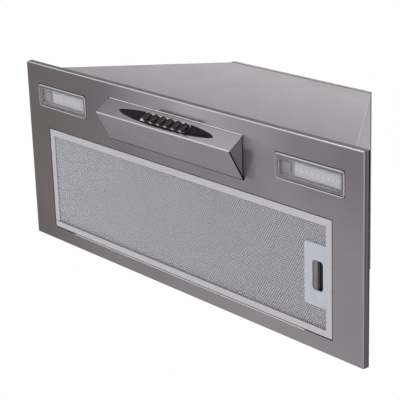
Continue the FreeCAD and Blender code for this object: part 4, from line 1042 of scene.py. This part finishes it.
class RangeHoodSettings(bpy.types.PropertyGroup):
    """Sizes and colours that can be changed."""

    coat_colour: bpy.props.FloatVectorProperty(
        name="Housing coat",
        description="Colour of the housing's powder coat",
        default=linear("#b2aeb2"),
        subtype="COLOR",
        size=4,
    )
    bezel_colour: bpy.props.FloatVectorProperty(
        name="Bezel",
        description="Colour of the control bezel",
        default=linear("#292128"),
        subtype="COLOR",
        size=4,
    )
    button_colour: bpy.props.FloatVectorProperty(
        name="Buttons",
        description="Colour of the push-buttons",
        default=linear("#262024"),
        subtype="COLOR",
        size=4,
    )
    surround_colour: bpy.props.FloatVectorProperty(
        name="Button surround",
        description="Colour of the lacquered strip between the buttons",
        default=linear("#c6c4c8"),
        subtype="COLOR",
        size=4,
    )
    cell_along: bpy.props.FloatProperty(
        name="Mesh cell along",
        description="One diamond of the mesh along the hood",
        default=0.00375,
        unit="LENGTH",
    )
    cell_across: bpy.props.FloatProperty(
        name="Mesh cell across",
        description="One diamond of the mesh across the hood",
        default=0.00585,
        unit="LENGTH",
    )
    strand_width: bpy.props.FloatProperty(
        name="Strand width", description="Width of a strand in the sheet", default=0.00114, unit="LENGTH"
    )
    strand_depth: bpy.props.FloatProperty(
        name="Strand depth", description="Thickness of the stretched sheet", default=0.0006, unit="LENGTH"
    )
    latch_travel: bpy.props.FloatProperty(
        name="Latch travel", description="How far the latch bolt draws back", default=0.005, unit="LENGTH"
    )
    screw_head_radius: bpy.props.FloatProperty(
        name="Screw head radius", description="Radius of a pan head", default=0.0036, unit="LENGTH"
    )
    screw_head_height: bpy.props.FloatProperty(
        name="Screw head height", description="Height of a pan head", default=0.0022, unit="LENGTH"
    )
    screw_shank_radius: bpy.props.FloatProperty(
        name="Screw shank radius", description="Radius of the thread", default=0.0018, unit="LENGTH"
    )
    screw_length: bpy.props.FloatProperty(
        name="Screw length", description="Length under the head", default=0.007, unit="LENGTH"
    )
    button_radius: bpy.props.FloatProperty(
        name="Button radius", description="Radius of a push-button's cap", default=0.0066, unit="LENGTH"
    )
    button_dish: bpy.props.FloatProperty(
        name="Button dish",
        description="Depth of the hollow in a button's face",
        default=0.0005,
        unit="LENGTH",
    )
    floor_height: bpy.props.FloatProperty(
        name="Floor height", description="Height of the studio floor", default=-2.4, unit="LENGTH"
    )
    lens: bpy.props.FloatProperty(
        name="Lens", description="Focal length of the camera in mm", default=125.24, unit="CAMERA"
    )


class HOOD_OT_sheet_metal(bpy.types.Operator):
    """Finish the stainless faceplate and ridge, and the grey housing"""

    bl_idname = "range_hood.sheet_metal"
    bl_label = "Sheet metal"

    def execute(self, context):
        finish_nodes(brushed_stainless, ridge_stainless, end_plate_stainless)
        finish_nodes(powder_coated_grey, galvanised_steel)
        return {"FINISHED"}


class HOOD_OT_controls(bpy.types.Operator):
    """Finish the bezel and its surround, and make the push-buttons"""

    bl_idname = "range_hood.controls"
    bl_label = "Controls"

    def execute(self, context):
        finish_nodes(polished_black_abs, silver_lacquer, switch_polyamide)
        material = gloss_button_abs()
        for number in range(1, 7):
            node = f"push_button_{number}"
            name = f"button_cap_{number}"
            new_piece(name, button_mesh(name, node), material, f"button_{number}", "button_black", node)
        return {"FINISHED"}


class HOOD_OT_lamps(bpy.types.Operator):
    """Finish the two lamps"""

    bl_idname = "range_hood.lamps"
    bl_label = "Lamps"

    def execute(self, context):
        finish_nodes(clear_acrylic, led_board_coating, white_nylon, lamp_box_abs)
        return {"FINISHED"}


class HOOD_OT_grease_filter(bpy.types.Operator):
    """Finish the grease filter and its latch, and make its expanded mesh"""

    bl_idname = "range_hood.grease_filter"
    bl_label = "Grease filter"

    def execute(self, context):
        finish_nodes(rolled_aluminium, pleated_aluminium, pale_latch_abs, dark_latch_abs, grey_acetal)
        material = expanded_aluminium()
        tree = expanded_sheet_tree()
        for node in ("filter_mesh_front", "filter_mesh_rear"):
            expanded_sheet(node, material, tree, context.scene.range_hood)
        leaf_spring(spring_steel())
        return {"FINISHED"}


class HOOD_OT_blower(bpy.types.Operator):
    """Finish the blower's motor, bushes and gasket"""

    bl_idname = "range_hood.blower"
    bl_label = "Blower"

    def execute(self, context):
        finish_nodes(closed_cell_foam, bush_rubber, motor_enamel, cast_aluminium, ground_steel)
        return {"FINISHED"}


class HOOD_OT_duct(bpy.types.Operator):
    """Finish the duct collar and its flaps"""

    bl_idname = "range_hood.duct"
    bl_label = "Duct collar"

    def execute(self, context):
        finish_nodes(collar_polypropylene, flap_polypropylene)
        return {"FINISHED"}


class HOOD_OT_electrics(bpy.types.Operator):
    """Finish the capacitor, lamp supply, terminal box and gland"""

    bl_idname = "range_hood.electrics"
    bl_label = "Electrics"

    def execute(self, context):
        finish_nodes(capacitor_can, driver_polycarbonate, terminal_polyamide)
        return {"FINISHED"}


class HOOD_OT_screws(bpy.types.Operator):
    """Make the crossed pan-head screws"""

    bl_idname = "range_hood.screws"
    bl_label = "Screws"

    def execute(self, context):
        material = bright_zinc()
        tree = screw_tree()
        screw_group("fascia_screws", tree, material, 2)
        screw_group("roof_screws", tree, material, 2)
        screw_group("motor_screws", tree, material, 0)
        return {"FINISHED"}


def floor_material():
    """Studio floor: pale matt paper, white to the camera, a fading white in metal and clear parts."""
    material, tree, shader, place = new_material("studio_paper", "#f3f3f2", {"Roughness": 0.9})
    spot = add_node(tree, "ShaderNodeSeparateXYZ", {"Vector": place}).outputs
    # The white that those show fades towards the far left, but not in front of the hood
    fades = []
    for axis, start, end, least in (("X", -5.2, -1.4, 0.4), ("Y", 0.2, -1.2, 0.0)):
        ends = {"From Min": start, "From Max": end, "To Min": least, "To Max": 1.0}
        inputs = {"Value": spot[axis]} | ends
        fades.append(add_node(tree, "ShaderNodeMapRange", inputs, interpolation_type="SMOOTHSTEP"))
    paper = add_node(tree, "ShaderNodeEmission", {"Color": WHITE, "Strength": either(tree, *fades)})
    rays = add_node(tree, "ShaderNodeLightPath").outputs
    mirrored = either(tree, rays["Is Glossy Ray"], rays["Is Transmission Ray"])
    camera_lift = 0.5
    lift = both(tree, rays["Is Camera Ray"], camera_lift)
    glow = add_node(tree, "ShaderNodeEmission", {"Color": WHITE, "Strength": lift})
    lit = add_node(tree, "ShaderNodeAddShader", {0: shader, 1: glow})
    mix = add_node(tree, "ShaderNodeMixShader", {0: mirrored, 1: lit, 2: paper})
    feed(tree.nodes["Material Output"], {"Surface": mix})
    return material


def studio_world():
    """A soft even light all round, with a white background for the camera, reflections and clear parts."""
    world = bpy.data.worlds.new("studio")
    bpy.context.scene.world = world
    world.use_nodes = True
    tree = world.node_tree
    tree.nodes.clear()
    rays = add_node(tree, "ShaderNodeLightPath").outputs
    seen = either(tree, rays["Is Camera Ray"], rays["Is Glossy Ray"], rays["Is Transmission Ray"])
    room_light = 0.55
    light = add_node(tree, "ShaderNodeBackground", {"Color": WHITE, "Strength": room_light})
    shown = add_node(tree, "ShaderNodeBackground", {"Color": WHITE, "Strength": 1.0})
    mix = add_node(tree, "ShaderNodeMixShader", {0: seen, 1: light, 2: shown})
    add_node(tree, "ShaderNodeOutputWorld", {"Surface": mix})


def softbox(name, place, target, size, power):
    """A square studio lamp that faces a point."""
    lamp = bpy.data.lights.new(name, "AREA")
    lamp.shape = "SQUARE"
    lamp.size = size
    lamp.energy = power
    thing = bpy.data.objects.new(name, lamp)
    bpy.context.scene.collection.objects.link(thing)
    thing.location = place
    thing.rotation_mode = "QUATERNION"
    thing.rotation_quaternion = (Vector(target) - Vector(place)).to_track_quat("-Z", "Y")


def camera():
    """The camera at the photograph's place: below the hood, in front of it and to its right."""
    place = Vector((1.4067, -0.5860, -1.1179))
    forward = Vector((-0.7352, 0.3133, 0.6011)).normalized()
    up = Vector((-0.2215, -0.9491, 0.2238))
    data = bpy.data.cameras.new("camera")
    data.lens = bpy.context.scene.range_hood.lens
    data.sensor_width = 36
    data.clip_start = 0.05
    data.clip_end = 60
    thing = bpy.data.objects.new("camera", data)
    bpy.context.scene.collection.objects.link(thing)
    right = forward.cross(up).normalized()
    turn = Matrix((right, right.cross(forward), -forward)).transposed()
    thing.matrix_world = Matrix.Translation(place) @ turn.to_4x4()
    bpy.context.scene.camera = thing


# Each lamp's name, its place, the point that it faces, its size in metres and its power in watts
SOFTBOXES = (
    ("key", (-1.2, -2.6, 1.6), (0, 0, 0.1), 1.6, 42),
    ("fill", (2.2, -1.6, -0.6), (0, 0, 0), 1.6, 8),
    ("top", (0.3, 0.2, 3.0), (0, 0, 0.2), 2.0, 30),
    ("side", (2.8, 0.8, 0.9), (0, 0, 0.1), 1.6, 4),
    ("far side", (-2.8, 0.8, 0.9), (0, 0, 0.1), 1.6, 9),
    ("back", (1.0, 2.4, 1.8), (0, 0, 0.1), 1.6, 25),
)


class HOOD_OT_stage(bpy.types.Operator):
    """Set the floor, the lamps, the world and the camera"""

    bl_idname = "range_hood.stage"
    bl_label = "Stage"

    def execute(self, context):
        context.scene.view_settings.view_transform = "Standard"
        bm = bmesh.new()
        floor_reach = 12
        bmesh.ops.create_grid(bm, x_segments=1, y_segments=1, size=floor_reach)
        bm.transform(Matrix.Translation((0, 0, context.scene.range_hood.floor_height)))
        mesh = bpy.data.meshes.new("studio_floor")
        bm.to_mesh(mesh)
        bm.free()
        mesh.materials.append(floor_material())
        floor = bpy.data.objects.new("studio_floor", mesh)
        context.scene.collection.objects.link(floor)
        studio_world()
        for lamp in SOFTBOXES:
            softbox(*lamp)
        camera()
        return {"FINISHED"}


STEPS = (
    HOOD_OT_sheet_metal,
    HOOD_OT_controls,
    HOOD_OT_lamps,
    HOOD_OT_grease_filter,
    HOOD_OT_blower,
    HOOD_OT_duct,
    HOOD_OT_electrics,
    HOOD_OT_screws,
    HOOD_OT_stage,
)


class HOOD_PT_pieces(bpy.types.Panel):
    """The steps that dress the hood, in the 3D view's sidebar"""

    bl_idname = "HOOD_PT_pieces"
    bl_label = "Range hood"
    bl_space_type = "VIEW_3D"
    bl_region_type = "UI"
    bl_category = "Range hood"

    def draw(self, context):
        settings = context.scene.range_hood
        for name in RangeHoodSettings.__annotations__:
            self.layout.prop(settings, name)
        for step in STEPS:
            self.layout.operator(step.bl_idname)


def register():
    """Registers the settings, the steps and the panel."""
    for item in (RangeHoodSettings, *STEPS, HOOD_PT_pieces):
        bpy.utils.register_class(item)
    bpy.types.Scene.range_hood = bpy.props.PointerProperty(type=RangeHoodSettings)


def unregister():
    """Takes them away again."""
    del bpy.types.Scene.range_hood
    for item in (HOOD_PT_pieces, *reversed(STEPS), RangeHoodSettings):
        bpy.utils.unregister_class(item)


def main():
    """Dresses the hood."""
    register()
    for step in STEPS:
        group, name = step.bl_idname.split(".")
        getattr(getattr(bpy.ops, group), name)()


if __name__ == "__main__":
    main()
